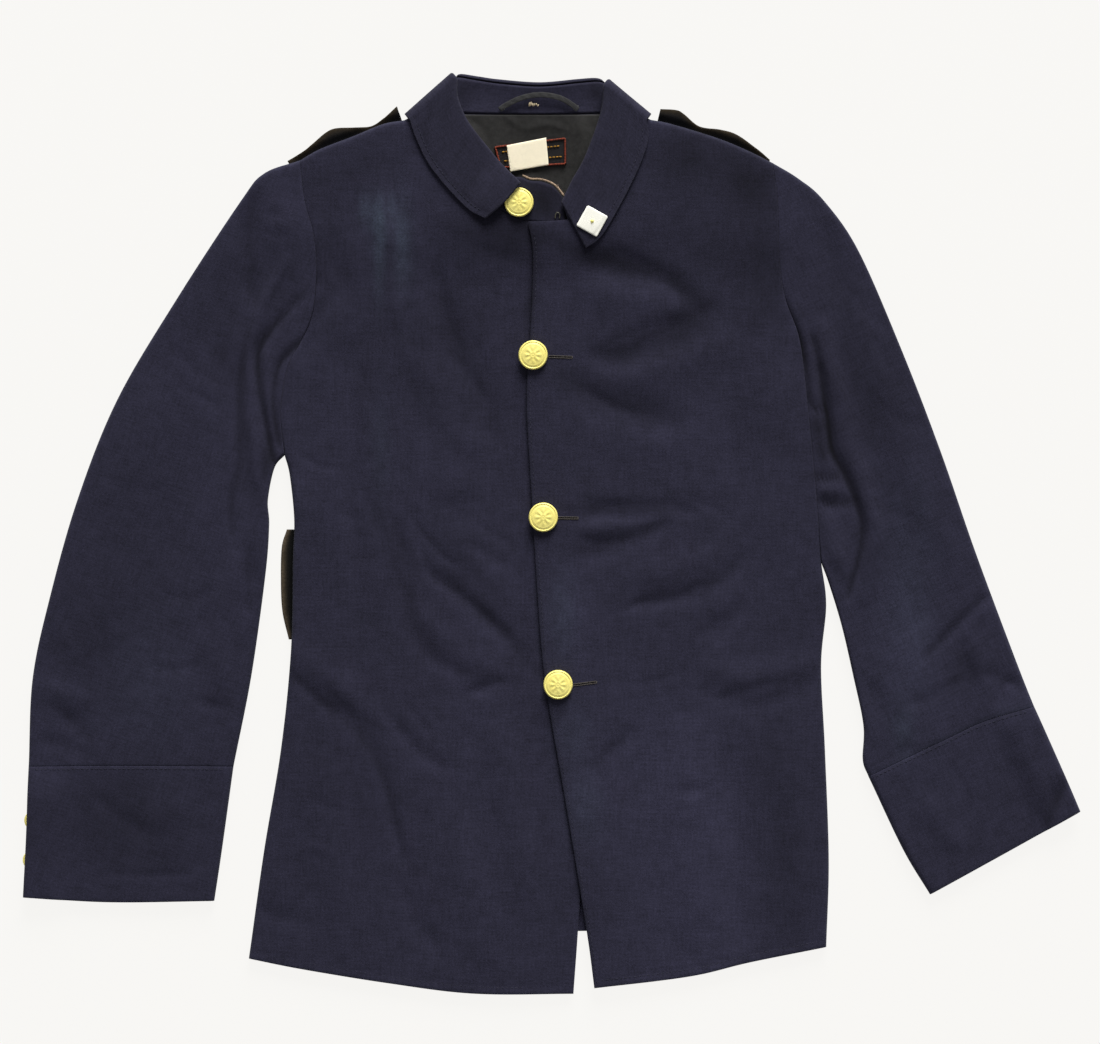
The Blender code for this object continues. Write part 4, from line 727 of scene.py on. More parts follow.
def calm(x, y):
    """1 where folds have their full height, less by the front edge, 0 under the collar."""
    collar = rise_from(past_neck(x, y, *COLLAR_CALM_AT), *COLLAR_CALM_FADE)
    from_edge = np.abs(past_edge(x, y) - EDGE_CALM_MIDDLE)
    return collar * (EDGE_CALM + (1 - EDGE_CALM) * rise_from(from_edge, *EDGE_CALM_FADE))


def right_front_height(x, y):
    """Outer height of the under front, which dips below the other along the middle."""
    dip = UNDERLAP_DROP * rise_from(past_edge(x, y), *UNDERLAP_FADE)
    return smooth_top(x, y) - dip + calm(x, y) * relief(x, y, FOLDS_RIGHT_FRONT)


def left_front_height(x, y):
    """Outer height of the top front, which lies on the other along the middle."""
    rise = OVERLAP_RISE * (1 - rise_from(past_edge(x, y), *OVERLAP_FADE))
    own = calm(x, y) * relief(x, y, FOLDS_LEFT_FRONT)
    below = calm(x, y) * relief(x, y, FOLDS_RIGHT_FRONT)
    mix = rise_from(past_edge(x, y), *LAP_FOLDS_FADE)
    lap = (np.maximum(own, 0) + np.maximum(below, 0)) * (1 - mix)
    return smooth_top(x, y) + rise + own * mix + lap


def seam_height(x, y):
    """Half way up the side, where the upper and the lower cloth meet."""
    return 0.5 * (under_height(x, y) + smooth_top(x, y))


def coons(u, v, left, right, bottom, top):
    """Plan points of a panel, blended from its four borders."""
    lo, hi = left(v), right(v)
    down, up = bottom(u), top(u)
    u, v = u[..., None], v[..., None]
    corners = ((1 - u) * (1 - v) * bottom(0.0) + u * (1 - v) * bottom(1.0)
               + (1 - u) * v * top(0.0) + u * v * top(1.0))
    return (1 - u) * lo + u * hi + (1 - v) * down + v * up - corners


def chain(*stretches):
    """One line from stretches that start where the last one ended."""
    return np.vstack([stretches[0], *[k[1:] for k in stretches[1:]]])


def fading(end, count):
    """How rounded an edge is at each share: wholly at first, and not at all past the step end."""
    steps = [end - 2, end - 1, end, end + 1]
    return lambda shares: np.interp(np.asarray(shares, float) * count, steps, ROUND_FADE)


def no_round(shares):
    return np.zeros(np.shape(shares))


# ---- the cloth's finer shape


def ripple(x, y):
    """The faint waviness of pressed wool."""
    slow = np.sin(x / 17.0 + 0.9 * np.sin(y / 41.0)) * np.sin(y / 29.0 + 0.8 * np.sin(x / 37.0))
    quick = np.sin(x / 7.3 + 1.7 * np.sin(y / 26.0) + 0.6) * np.sin(y / 33.0 - x / 90.0)
    return 0.16 * slow + 0.07 * quick


def groove(x, y, knots, half_width, depth):
    """A seam's shallow groove along a line, or a ridge where the depth is below zero."""
    line = smooth_line(knots, steps=FINE) if len(knots) < 12 else knots
    return -depth * np.exp(-(place_by(x, y, line)[0] / half_width) ** 2)


HEM_LINE_RIGHT = beside(smooth_line(HEM_RIGHT, steps=FINE), HEM_STITCH)
HEM_LINE_LEFT = beside(smooth_line(HEM_LEFT, steps=FINE), HEM_STITCH)


def painted_shade(x, y, painted_shades):
    """How far painted shade darkens the wool at each point, from 0 to 1; below 0, painted light lightens
    it.
    """
    light = np.ones(np.shape(x))
    for half_width, amount, *knots in painted_shades:
        light *= 1 - amount * fold_shape(x, y, knots, half_width)
    return 1 - light


def front_right_top(x, y):
    fine = relief(x, y, CREASES_RIGHT_FRONT) + ripple(x, y) + groove(x, y, HEM_LINE_RIGHT, *HEM_GROOVE)
    return right_front_height(x, y) + calm(x, y) * fine


def front_left_top(x, y):
    fine = relief(x, y, CREASES_LEFT_FRONT) + ripple(x, y) + groove(x, y, HEM_LINE_LEFT, *HEM_GROOVE)
    return left_front_height(x, y) + calm(x, y) * fine


def sleeve_right_top(x, y):
    folds = relief(x, y, FOLDS_RIGHT_SLEEVE)
    return smooth_top(x, y) + folds + relief(x, y, CREASES_RIGHT_SLEEVE) + ripple(x, y)


def sleeve_left_top(x, y):
    folds = relief(x, y, FOLDS_LEFT_SLEEVE)
    return smooth_top(x, y) + folds + relief(x, y, CREASES_LEFT_SLEEVE) + ripple(x, y)


def underside(x, y):
    """The lowest cloth, with the shallow creases that pressing against the table leaves."""
    creases = np.maximum(relief(x, y, CREASES_UNDER), 0) + 0.5 * np.maximum(ripple(x, y), 0)
    seams = groove(x, y, BACK_SEAM, *MIDDLE_SEAM_RIDGE)
    for seam in (BACK_SIDE_RIGHT, BACK_SIDE_LEFT):
        seams = seams + groove(x, y, seam, *SIDE_SEAM_RIDGE)
    return under_height(x, y) + creases + seams


def across_rounds(near, far, count):
    """Shares of the way between two borders, close together where the cloth rounds at both."""
    reach = ROUND_IN / np.linalg.norm(far - near, axis=1)[:, None]
    low, high = reach[:, -1:], 1.0 - reach[:, -1:]
    inner = low + (high - low) * np.linspace(0.0, 1.0, count)[None, 1:-1]
    return np.concatenate([reach, inner, 1.0 - reach[:, ::-1]], axis=1)


def panel_points(borders, grid, top_height, rounds, edge_wear=0.0, faces_down=False):
    """Outer points of a body panel. Folded edges round down to the seam, cut edges roll a little."""
    rows, columns = grid
    left, right, bottom, top = borders
    round_left, round_right, round_top = rounds
    up, extra = ROUND_UP, ROUND_COLUMNS
    rough_u = np.concatenate([np.zeros(extra), np.linspace(0.0, 1.0, columns)[1:-1], np.ones(extra)])
    v = across_rounds(bottom(rough_u), top(rough_u), rows).T
    v_row = v[:, len(rough_u) // 2]
    u = across_rounds(left(v_row), right(v_row), columns)
    plan = coons(u, v, left, right, bottom, top)
    x, y = plan[..., 0], plan[..., 1]

    rounded, rolled, worn = np.zeros(u.shape), np.zeros(u.shape), np.zeros(u.shape)
    for edge, amount, wear in (
            ((slice(None), slice(0, extra)), round_left(v_row)[:, None], edge_wear),
            ((slice(None), slice(-extra, None)), round_right(v_row)[:, None], 0.0),
            ((slice(-extra, None), slice(None)), round_top(rough_u)[None, :], 0.0),
            ((slice(0, extra), slice(None)), np.zeros((1, 1)), 1.0)):
        by_row = edge[1] == slice(None)
        fall = 1 - (up if edge[0 if by_row else 1].start == 0 else up[::-1])
        fall = fall[:, None] if by_row else fall[None, :]
        rounded[edge] = 1 - (1 - rounded[edge]) * (1 - amount * fall)
        rolled[edge] = np.maximum(rolled[edge], (1 - amount) * fall)
        worn[edge] = np.maximum(worn[edge], np.maximum(amount, wear) * fall)

    level = np.array(plan)
    level[:, :extra - 1] = level[:, extra - 1:extra]
    level[:, 1 - extra:] = level[:, -extra:1 - extra]
    level[1 - extra:] = level[-extra]
    side = -1.0 if faces_down else 1.0
    height = underside if faces_down else top_height
    flat = height(level[..., 0], level[..., 1]) - side * EDGE_ROLL * rolled
    start = seam_height(x, y) + side * 0.5 * SEAM_GAP
    z = start + (flat - start) * (1 - rounded)
    return at_height(plan, z), worn


def tube_points(borders, grid, top_height, step=0.0):
    """Outer points of a flattened tube, once round, and how near each lies to an edge."""
    rows, columns = grid
    left, right, bottom, top = borders
    up, extra = ROUND_UP, ROUND_COLUMNS
    ends = ROUND_IN / np.linalg.norm(left(1.0) - left(0.0))
    middle = ends[-1] + (1 - 2 * ends[-1]) * np.linspace(0.0, 1.0, rows)[1:-1]
    v = np.concatenate([ends, middle, 1.0 - ends[::-1]])
    over = across_rounds(left(v), right(v), columns)
    u = np.concatenate([over, over[:, ::-1][:, 1:]], axis=1)
    rise = np.concatenate([up, np.ones(columns - 2), up[::-1]])
    rise = np.concatenate([rise, rise[1:]])
    plan = coons(u, np.repeat(v[:, None], u.shape[1], axis=1), left, right, bottom, top)
    x, y = plan[..., 0], plan[..., 1]
    surface = top_height(x, y) + step
    lower = underside(x, y)
    surface[:, over.shape[1]:] = lower[:, over.shape[1]:]
    middle = seam_height(x, y)
    roll = np.ones(len(v))
    roll[:extra], roll[-extra:] = up, up[::-1]
    gather = 1 - EDGE_ROLL * (1 - roll)[:, None] / np.maximum(surface - middle, 1.0)
    z = middle + (surface - middle) * rise * np.where(surface > middle, gather, 1.0)
    worn = 1 - roll
    worn[-extra:] = 0.0
    edge = np.maximum(1 - rise[None, :], worn[:, None])
    return at_height(plan, z), edge


def cut_layer(mesh, uv):
    """The cloth's own coordinates, by which its weave is laid."""
    corner = np.empty(len(mesh.loops), dtype=np.int32)
    mesh.loops.foreach_get("vertex_index", corner)
    layer = mesh.uv_layers.new(name="cut")
    layer.data.foreach_set("uv", (uv.reshape(-1, 2)[corner] * MM).astype(np.float32).ravel())


def point_values(mesh, name, values):
    """One number at each point of a mesh, for its finish to read."""
    mark = mesh.attributes.new(name, "FLOAT", "POINT")
    mark.data.foreach_set("value", values.astype(np.float32).ravel())


def squares(index):
    """The faces between the numbered points of a grid."""
    return np.stack([index[:-1, :-1], index[:-1, 1:], index[1:, 1:], index[1:, :-1]],
                    axis=-1).reshape(-1, 4)


def cloth(name, points, wall, outside, inside=None, edge=None, closed=False, faces_down=False,
          centred=False, grain=0.0, uv=None, painted_shades=None, facing=None):
    """A piece of cloth through a grid of points (rows, columns, xyz), in millimetres."""
    if closed:
        points = points[:, :-1]
    rows, columns = points.shape[:2]
    index = np.arange(rows * columns).reshape(rows, columns)
    if closed:
        index = np.concatenate([index, index[:, :1]], axis=1)
    quads = squares(index)
    if faces_down:
        quads = quads[:, ::-1]
    flat = points.reshape(-1, 3)
    mesh = bpy.data.meshes.new(name)
    mesh.from_pydata((flat * MM).tolist(), [], quads.tolist())
    if uv is None:
        turn = math.radians(grain)
        uv = np.stack([flat[:, 0] * math.cos(turn) + flat[:, 1] * math.sin(turn),
                       flat[:, 1] * math.cos(turn) - flat[:, 0] * math.sin(turn)], axis=-1)
    cut_layer(mesh, uv)
    if edge is not None:
        point_values(mesh, "edge", edge[:, :-1] if closed else edge)
    # Painted shade and light, held at each point for the wool's finish
    if painted_shades:
        point_values(mesh, "shade", painted_shade(flat[:, 0], flat[:, 1], painted_shades))
    mesh.materials.append(outside)
    mesh.materials.append(inside or outside)
    if facing is not None:
        mesh.materials.append(outside)
        mesh.materials.append(hem_facing_painted_light)
        mesh.polygons.foreach_set("material_index", facing.astype(np.int32).ravel())
    mesh.shade_smooth()
    piece = bpy.data.objects.new(name, mesh)
    jacket.objects.link(piece)
    thick = piece.modifiers.new("thickness", "SOLIDIFY")
    thick.thickness = wall * MM
    thick.offset = 0.0 if centred else -1.0
    thick.use_even_offset = not centred
    thick.material_offset = 1
    return piece


def mesh_piece(name, points, faces, finish, uv=None):
    """A mesh from points in millimetres."""
    points = np.asarray(points, float)
    mesh = bpy.data.meshes.new(name)
    mesh.from_pydata((points * MM).tolist(), [], faces)
    cut_layer(mesh, points[:, :2] if uv is None else uv)
    mesh.materials.append(finish)
    mesh.shade_smooth()
    piece = bpy.data.objects.new(name, mesh)
    jacket.objects.link(piece)
    return piece


def carry(piece, node):
    """The piece rides on the jacket's one body, and stands for its solid if it has one."""
    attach(piece, "root")
    if node:
        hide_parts(node)
    return piece


# ---- the body and the sleeves


def side_border(side, side_rows, armhole, arm_rows):
    """Side seam and armhole in one border, with two close rows under the armpit."""
    line = smooth_line(side)
    close = FADE_ROW / np.linalg.norm(np.diff(line, axis=0), axis=1).sum()
    shares = np.append(np.linspace(0.0, 1.0 - 2 * close, side_rows - 1), [1.0 - close, 1.0])
    fine = np.interp(np.linspace(0, side_rows, side_rows * FINE + 1), np.arange(side_rows + 1), shares)
    return stepwise(chain(along(line, fine), even(armhole, arm_rows * FINE)))


def straight(*points):
    """A line straight from point to point, in fine steps."""
    return stepwise(np.array(points, float))(np.linspace(0, 1, (len(points) - 1) * FINE + 1))


def body_front_right():
    corner = SHOULDER_COLUMNS + 1
    top = chain(even(SHOULDER_RIGHT, SHOULDER_COLUMNS * FINE),
                straight(SHOULDER_RIGHT[-1], NECK_CORNER_RIGHT),
                even(NECK_RIGHT, NECK_RIGHT_COLUMNS * FINE))
    borders = (side_border(SIDE_RIGHT, SIDE_RIGHT_ROWS, ARMHOLE_RIGHT, ARM_RIGHT_COUNT),
               flowing(EDGE_RIGHT), flowing(HEM_RIGHT), stepwise(top))
    rounds = (fading(SIDE_RIGHT_ROWS, SIDE_RIGHT_ROWS + ARM_RIGHT_COUNT), no_round,
              fading(corner, corner + NECK_RIGHT_COLUMNS))
    points, edge = panel_points(borders, FRONT_RIGHT_GRID, front_right_top, rounds)
    piece = cloth("jacket_front_right", points, BODY_SHELL, navy_wool, lining_cloth, edge,
                  painted_shades=PAINTED_SHADE_FRONTS)
    carry(piece, "front_right")


def body_front_left():
    corner = SHOULDER_COLUMNS + 1
    top = chain(even(SHOULDER_LEFT, SHOULDER_COLUMNS * FINE),
                straight(SHOULDER_LEFT[-1], NECK_CORNER_LEFT),
                even(NECK_LEFT, NECK_LEFT_COLUMNS * FINE), even(LAP_LEFT, LAP_COLUMNS * FINE))
    borders = (flowing(EDGE_LEFT),
               side_border(SIDE_LEFT, SIDE_LEFT_ROWS, ARMHOLE_LEFT, ARM_LEFT_COUNT),
               flowing(HEM_LEFT), stepwise(top[::-1]))
    from_shoulder = fading(corner, corner + NECK_LEFT_COLUMNS + LAP_COLUMNS)
    rounds = (no_round, fading(SIDE_LEFT_ROWS, SIDE_LEFT_ROWS + ARM_LEFT_COUNT),
              lambda shares: from_shoulder(1 - shares))
    points, edge = panel_points(borders, FRONT_LEFT_GRID, front_left_top, rounds, edge_wear=FRONT_EDGE_WEAR)
    piece = cloth("jacket_front_left", points, BODY_SHELL, navy_wool, lining_cloth, edge,
                  painted_shades=PAINTED_SHADE_FRONTS)
    carry(piece, "front_left")


def body_back():
    """The back, with the navy facing inside its hem that shows in the vent, painted lighter against its
    shade.
    """
    top = chain(even(SHOULDER_RIGHT, SHOULDER_COLUMNS * FINE),
                straight(SHOULDER_RIGHT[-1], NECK_CORNER_RIGHT, NECK_BACK[0]),
                even(NECK_BACK, NECK_BACK_COLUMNS * FINE),
                straight(NECK_BACK[-1], NECK_CORNER_LEFT, SHOULDER_LEFT[-1]),
                even(SHOULDER_LEFT, SHOULDER_COLUMNS * FINE)[::-1])
    borders = (side_border(SIDE_RIGHT, SIDE_RIGHT_ROWS, ARMHOLE_RIGHT, ARM_RIGHT_COUNT),
               side_border(SIDE_LEFT, SIDE_LEFT_ROWS, ARMHOLE_LEFT, ARM_LEFT_COUNT),
               flowing(HEM_BACK), stepwise(top))
    shoulder = fading(SHOULDER_COLUMNS + 1, 2 * SHOULDER_COLUMNS + 4 + NECK_BACK_COLUMNS)
    rows = SIDE_RIGHT_ROWS + ARM_RIGHT_COUNT
    rounds = (fading(SIDE_RIGHT_ROWS, rows), fading(SIDE_LEFT_ROWS, rows),
              lambda shares: np.maximum(shoulder(shares), shoulder(1 - shares)))
    points, edge = panel_points(borders, BACK_GRID, None, rounds, faces_down=True)
    centre = (points[:-1, :-1] + points[1:, 1:]) / 2
    above_hem = centre[..., 1] - np.interp(centre[..., 0], *np.array(HEM_BACK, float).T)
    piece = cloth("jacket_back", points, BODY_SHELL, navy_wool, lining_cloth, edge, faces_down=True,
                  facing=2 * (above_hem < HEM_FACING))
    carry(piece, "back")


def sleeve(side):
    """A sleeve and its cuff, each a flat tube, sewn on at the armhole and at the cuff seam."""
    right = side == "right"
    armhole, count = (ARMHOLE_RIGHT, ARM_RIGHT_COUNT) if right else (ARMHOLE_LEFT, ARM_LEFT_COUNT)
    outer, inner, seam = ((OUTER_RIGHT, INNER_RIGHT, CUFF_SEAM_RIGHT) if right
                          else (OUTER_LEFT, INNER_LEFT, CUFF_SEAM_LEFT))
    cuff_outer, cuff_inner, hem = ((CUFF_OUTER_RIGHT, CUFF_INNER_RIGHT, CUFF_HEM_RIGHT) if right
                                   else (CUFF_OUTER_LEFT, CUFF_INNER_LEFT, CUFF_HEM_LEFT))
    ring = beside(even(armhole, count * FINE), SEWN_GAP if right else -SEWN_GAP)
    seam_line = even(seam, count * FINE)
    cuff_line = beside(seam_line, -SEWN_GAP)
    outer_end, inner_end = (0, -1) if right else (-1, 0)
    outer = flowing(outer[:-1] + [tuple(ring[-1])])
    inner = flowing(inner[:-1] + [tuple(ring[0])])
    cuff_outer = flowing(cuff_outer[:-1] + [tuple(cuff_line[outer_end])])
    cuff_inner = flowing(cuff_inner[:-1] + [tuple(cuff_line[inner_end])])
    if right:
        borders = (outer, inner, stepwise(seam_line), stepwise(ring[::-1]))
        cuff = (cuff_outer, cuff_inner, flowing(hem), stepwise(cuff_line))
    else:
        borders = (inner, outer, stepwise(seam_line), stepwise(ring))
        cuff = (cuff_inner, cuff_outer, flowing(hem), stepwise(cuff_line))
    top_height = sleeve_right_top if right else sleeve_left_top
    dressing = dict(closed=True, grain=SLEEVE_RIGHT_GRAIN if right else SLEEVE_LEFT_GRAIN,
                    painted_shades=PAINTED_SHADE_RIGHT_SLEEVE if right else PAINTED_SHADE_LEFT_SLEEVE)
    points, edge = tube_points(borders, SLEEVE_RIGHT_GRID if right else SLEEVE_LEFT_GRID, top_height)
    piece = cloth("jacket_sleeve_" + side, points, BODY_SHELL, navy_wool, lining_cloth, edge, **dressing)
    carry(piece, "sleeve_" + side)
    points, edge = tube_points(cuff, CUFF_GRID, top_height, CUFF_STEP)
    piece = cloth("jacket_cuff_" + side, points, BODY_SHELL, navy_wool, lining_cloth, edge, **dressing)
    carry(piece, "cuff_" + side)


# ---- the collar

LEAF_STITCH_RIGHT = beside(smooth_line(LEAF_RIGHT, steps=FINE), -LEAF_STITCH)
LEAF_STITCH_LEFT = beside(smooth_line(LEAF_LEFT, steps=FINE), LEAF_STITCH)


def leaf_end_lift(x, y):
    """The right leaf's end stands up where the top button lies under it."""
    away = np.hypot(x - BUTTON_AT[1][0], y - BUTTON_AT[1][1])
    return LEAF_END_LIFT * (1 - rise_from(away, *LEAF_END_FADE))


def leaf_height(x, y, side):
    """Middle of the leaf's wall where it lies on a front."""
    front = right_front_height if side == "right" else left_front_height
    lift = leaf_end_lift(x, y) if side == "right" else 0.0
    stitched = groove(x, y, LEAF_STITCH_RIGHT if side == "right" else LEAF_STITCH_LEFT, *LEAF_GROOVE)
    rippled = LEAF_RIPPLE * ripple(1.3 * x, 1.3 * y)
    return front(x, y) + LEAF_CLEAR + LEAF_HALF + lift + stitched + rippled


def stand_height(x, y, side):
    """Middle of the stand's wall at the front, level with the front that it is sewn to."""
    front = right_front_height if side == "right" else left_front_height
    return front(x, y) - 0.5 * BODY_WALL


def back_rise(distance, share):
    """The back of the collar stands up a little towards its roll, away from the shoulder folds."""
    slope = np.clip(1 - distance / LEAF_BACK_SLOPE, 0, 1) ** 2
    return LEAF_BACK_RISE * slope * soft_step(np.minimum(share, 1 - share) / LEAF_BACK_ENDS)


def fold_frame(fold):
    """A shoulder fold's direction towards the leaf's edge and its outward direction."""
    heading = np.subtract(fold[1], fold[0]) / math.dist(*fold)
    outward = np.array([-heading[1], heading[0]])
    return heading, outward if outward[1] > 0 else -outward


def spread(near, far, shares):
    """Plan points between two lines, at the given shares of the way across."""
    return near[:, None, :] + (far - near)[:, None, :] * shares[None, :, None]


def front_sheet(near, far, shares, side, below):
    """Points between two front lines of the collar; below is 0 for the leaf, 1 for the stand."""
    plan = spread(near, far, shares)
    x, y = plan[..., 0], plan[..., 1]
    z = stand_height(x, y, side) if below else leaf_height(x, y, side)
    return at_height(plan, z)


def back_sheet(near, far, shares, below):
    """Points between two lines round the back of the collar."""
    plan = spread(near, far, shares)
    along_back = np.linspace(0, 1, len(near))[:, None]
    distance = np.linalg.norm(far - near, axis=1)[:, None] * shares[None, :]
    z = LEAF_BACK_MIDDLE + below * LEAF_TO_STAND + back_rise(distance, along_back)
    return at_height(plan, z)


def turn_sheet(near, far, shares, side, below, outward, angles):
    """Points round a shoulder fold, from the front sheet (angle 0) to the back sheet."""
    plan = near[None, :] + (far - near)[None, :] * shares[:, None]
    top = stand_height(*plan.T, side) if below else leaf_height(*plan.T, side)
    bottom = LEAF_BACK_MIDDLE + below * LEAF_TO_STAND
    radius, centre = 0.5 * (top - bottom), 0.5 * (top + bottom)
    out = []
    for angle in angles:
        xy = plan + outward[None, :] * (radius * math.sin(angle))[:, None]
        out.append(np.column_stack([xy, centre + radius * math.cos(angle)]))
    return np.array(out)


def towards(near, far):
    """Unit directions from the points of near to those of far."""
    way = far - near
    return way / np.linalg.norm(way, axis=-1, keepdims=True)


def inset(near, far, distance):
    """The points of near, moved towards those of far."""
    return near + towards(near, far) * distance


def upright(count):
    """Upward directions, one for each of count points."""
    return np.repeat([[0.0, 0.0, 1.0]], count, axis=0)


def run_lengths(points):
    """Cut coordinates of a strip: the length along its middle and the distance across it."""
    middle = points[:, points.shape[1] // 2]
    along_strip = np.concatenate([[0], np.cumsum(np.linalg.norm(np.diff(middle, axis=0), axis=1))])
    steps = np.linalg.norm(np.diff(points, axis=1), axis=2)
    across = np.concatenate([np.zeros((len(points), 1)), np.cumsum(steps, axis=1)], axis=1)
    return np.stack([np.repeat(along_strip[:, None], points.shape[1], axis=1), across], axis=-1)


def collar_leaf():
    """The leaf with the round of the roll, from the right end over the back to the left end."""
    reach = ROLL_RADIUS + LEAF_HALF
    lines = {"right": (even(ROLL_RIGHT, FRONT_STATIONS), even(LEAF_RIGHT, FRONT_STATIONS)),
             "left": (even(ROLL_LEFT, FRONT_STATIONS)[::-1], even(LEAF_LEFT, FRONT_STATIONS)[::-1])}
    back_roll, back_edge = even(ROLL_BACK, BACK_STATIONS), even(LEAF_BACK, BACK_STATIONS)
    parts = []
    for part in ("right", "turn_right", "back", "turn_left", "left"):
        if part == "back":
            near = inset(back_roll, back_edge, reach)
            sheet = back_sheet(near, back_edge, LEAF_SHARES, 0)[1:-1]
            way = towards(near, back_edge)[1:-1]
            down = upright(len(sheet))
        elif part.startswith("turn"):
            side = part[5:]
            roll, edge = lines[side]
            end = -1 if side == "right" else 0
            heading, outward = fold_frame(FOLD_RIGHT if side == "right" else FOLD_LEFT)
            angles = TURN_ANGLES if side == "right" else TURN_ANGLES[::-1]
            sheet = turn_sheet(inset(roll[end], edge[end], reach), edge[end], LEAF_SHARES, side, 0,
                               outward, angles)
            way = np.repeat([heading], len(angles), axis=0)
            down = np.array([[*(-outward * math.sin(a)), -math.cos(a)] for a in angles])
        else:
            roll, edge = lines[part]
            near = inset(roll, edge, reach)
            sheet = front_sheet(near, edge, LEAF_SHARES, part, 0)
            if part == "right":
                bulge = LEAF_END_BULGE * np.exp(-np.arange(len(sheet)) / LEAF_END_ROWS)[:, None]
                bulge = bulge * np.sin(math.pi * LEAF_SHARES)
                sheet[..., 0] += 0.7 * bulge
                sheet[..., 1] -= 0.7 * bulge
            way = towards(near, edge)
            down = -upright(len(sheet))
        parts.append((sheet, way, down))
    sheet, way, down = (np.concatenate(k) for k in zip(*parts))
    way = np.column_stack([way, np.zeros(len(way))])
    roll_round = [sheet[:, -1] - way * ROLL_RADIUS * math.sin(angle)
                  + down * ROLL_RADIUS * (1 - math.cos(angle)) for angle in ROLL_ANGLES]
    roll_round.append(roll_round[-1] + way * ROLL_END)
    points = np.concatenate([sheet, np.stack(roll_round, axis=1)], axis=1)[:, ::-1]
    edge = np.zeros(points.shape[:2])
    for k, amount in enumerate(WORN_ROWS):
        for rim in (edge[k], edge[-1 - k], edge[:, -1 - k]):
            np.maximum(rim, amount, out=rim)
    edge[:, ROLL_COLUMNS] = np.maximum(edge[:, ROLL_COLUMNS], ROLL_WORN)
    piece = cloth("collar_leaf_cloth", points, COLLAR_SHELL, navy_collar, None, edge, centred=True,
                  uv=run_lengths(points))
    carry(piece, "collar_leaf")


def collar_stand():
    """The stand, from the end of its button tab over the back to the left front."""
    reach = ROLL_RADIUS + LEAF_HALF + ROLL_END + STAND_GAP
    ends = {}
    for side, roll_knots, leaf_knots, fold, depth in (
            ("right", ROLL_RIGHT, LEAF_RIGHT, FOLD_RIGHT, STAND_DEPTH_RIGHT),
            ("left", ROLL_LEFT, LEAF_LEFT, FOLD_LEFT, STAND_DEPTH_LEFT)):
        roll, edge = even(roll_knots, 8), even(leaf_knots, 8)
        heading, outward = fold_frame(fold)
        upper = inset(roll, edge, reach)
        ends[side] = (upper, upper[-1], roll[-1] + heading * depth, outward)

    upper, near_right, seam_right, out_right = ends["right"]
    upper = smooth_line(np.vstack([BAND_TOP[::-1], upper[BAND_START:]]), steps=FINE)
    upper = along(upper, np.linspace(0, 1, NECK_RIGHT_COLUMNS * FINE + 1))
    lower = beside(even(NECK_RIGHT, NECK_RIGHT_COLUMNS * FINE)[::-1], -SEAM_GAP)
    lower[-1] = seam_right
    right = front_sheet(upper, lower, STAND_SHARES, "right", 1)
    turn_right = turn_sheet(near_right, seam_right, STAND_SHARES, "right", 1, out_right, TURN_ANGLES)

    upper, near_left, seam_left, out_left = ends["left"]
    upper = along(upper, np.linspace(0, 1, NECK_LEFT_COLUMNS * FINE + 1))
    lower = beside(even(NECK_LEFT, NECK_LEFT_COLUMNS * FINE)[::-1], SEAM_GAP)
    lower[-1] = seam_left
    left = front_sheet(upper, lower, STAND_SHARES, "left", 1)[::-1]
    turn_left = turn_sheet(near_left, seam_left, STAND_SHARES, "left", 1, out_left, TURN_ANGLES[::-1])

    count = NECK_BACK_COLUMNS * FINE
    lower = even(NECK_BACK, count) + np.array([0.0, LAYER_GAP])
    upper = inset(even(ROLL_BACK, count + 2), even(LEAF_BACK, count + 2), reach)
    lower = np.vstack([seam_right, lower, seam_left])
    upper[0], upper[-1] = near_right, near_left
    back = back_sheet(upper, lower, STAND_SHARES, 1)[1:-1]
    points = np.concatenate([right, turn_right, back, turn_left, left])
    piece = cloth("collar_stand_cloth", points, COLLAR_SHELL, navy_collar, None, centred=True,
                  uv=run_lengths(points), painted_shades=PAINTED_SHADE_STAND)
    carry(piece, "collar_stand")


# ---- stitches and small pieces


def normals_of(line, height):
    """Upward directions of a height along a plan line."""
    step = 0.6
    x, y = line[:, 0], line[:, 1]
    slope_x = (height(x + step, y) - height(x - step, y)) / (2 * step)
    slope_y = (height(x, y + step) - height(x, y - step)) / (2 * step)
    up = np.column_stack([-slope_x, -slope_y, np.ones(len(line))])
    return up / np.linalg.norm(up, axis=1)[:, None]


def tube_faces(stations, sides, first=0, capped=True):
    """The faces of a rod with so many rings of points, numbered from first on."""
    faces = []
    for k in range(stations - 1):
        for s in range(sides):
            a, b = first + k * sides + s, first + k * sides + (s + 1) % sides
            faces.append((a, a + sides, b + sides, b))
    if capped:
        last = first + (stations - 1) * sides
        faces.append(tuple(first + s for s in range(sides)))
        faces.append(tuple(last + s for s in reversed(range(sides))))
    return faces


def ring(centre, across, up, radius, sides):
    """The points round a rod at one place; across is to the left of the rod's way."""
    turns = -2 * math.pi * np.arange(sides) / sides
    return [centre + radius * (math.cos(turn) * across + math.sin(turn) * up) for turn in turns]


def rod(name, line, heights, radii, sides, finish):
    """A round rod along a plan line, with a height and a radius at each of its points."""
    centres = np.column_stack([line, heights])
    across = np.column_stack([leftward(line), np.zeros(len(line))])
    up = np.array([0.0, 0.0, 1.0])
    points = [point for k in range(len(line)) for point in ring(centres[k], across[k], up, radii[k], sides)]
    return mesh_piece(name, points, tube_faces(len(line), sides), finish)


def threads(name, starts, ends, ups, radius, finish, arch=0.35):
    """Short arched threads, one from each start to its end, in one mesh."""
    sides, stations = 6, 5
    points, faces = [], []
    for start, end, up in zip(starts, ends, ups):
        across = np.cross(up, towards(start, end))
        across /= np.linalg.norm(across)
        faces += tube_faces(stations, sides, len(points))
        for k in range(stations):
            t = k / (stations - 1)
            centre = start + (end - start) * t + up * arch * radius * 4 * t * (1 - t)
            size = radius * (THREAD_TAPER if k in (0, stations - 1) else 1.0)
            points += ring(centre, across, up, size, sides)
    return mesh_piece(name, points, faces, finish)


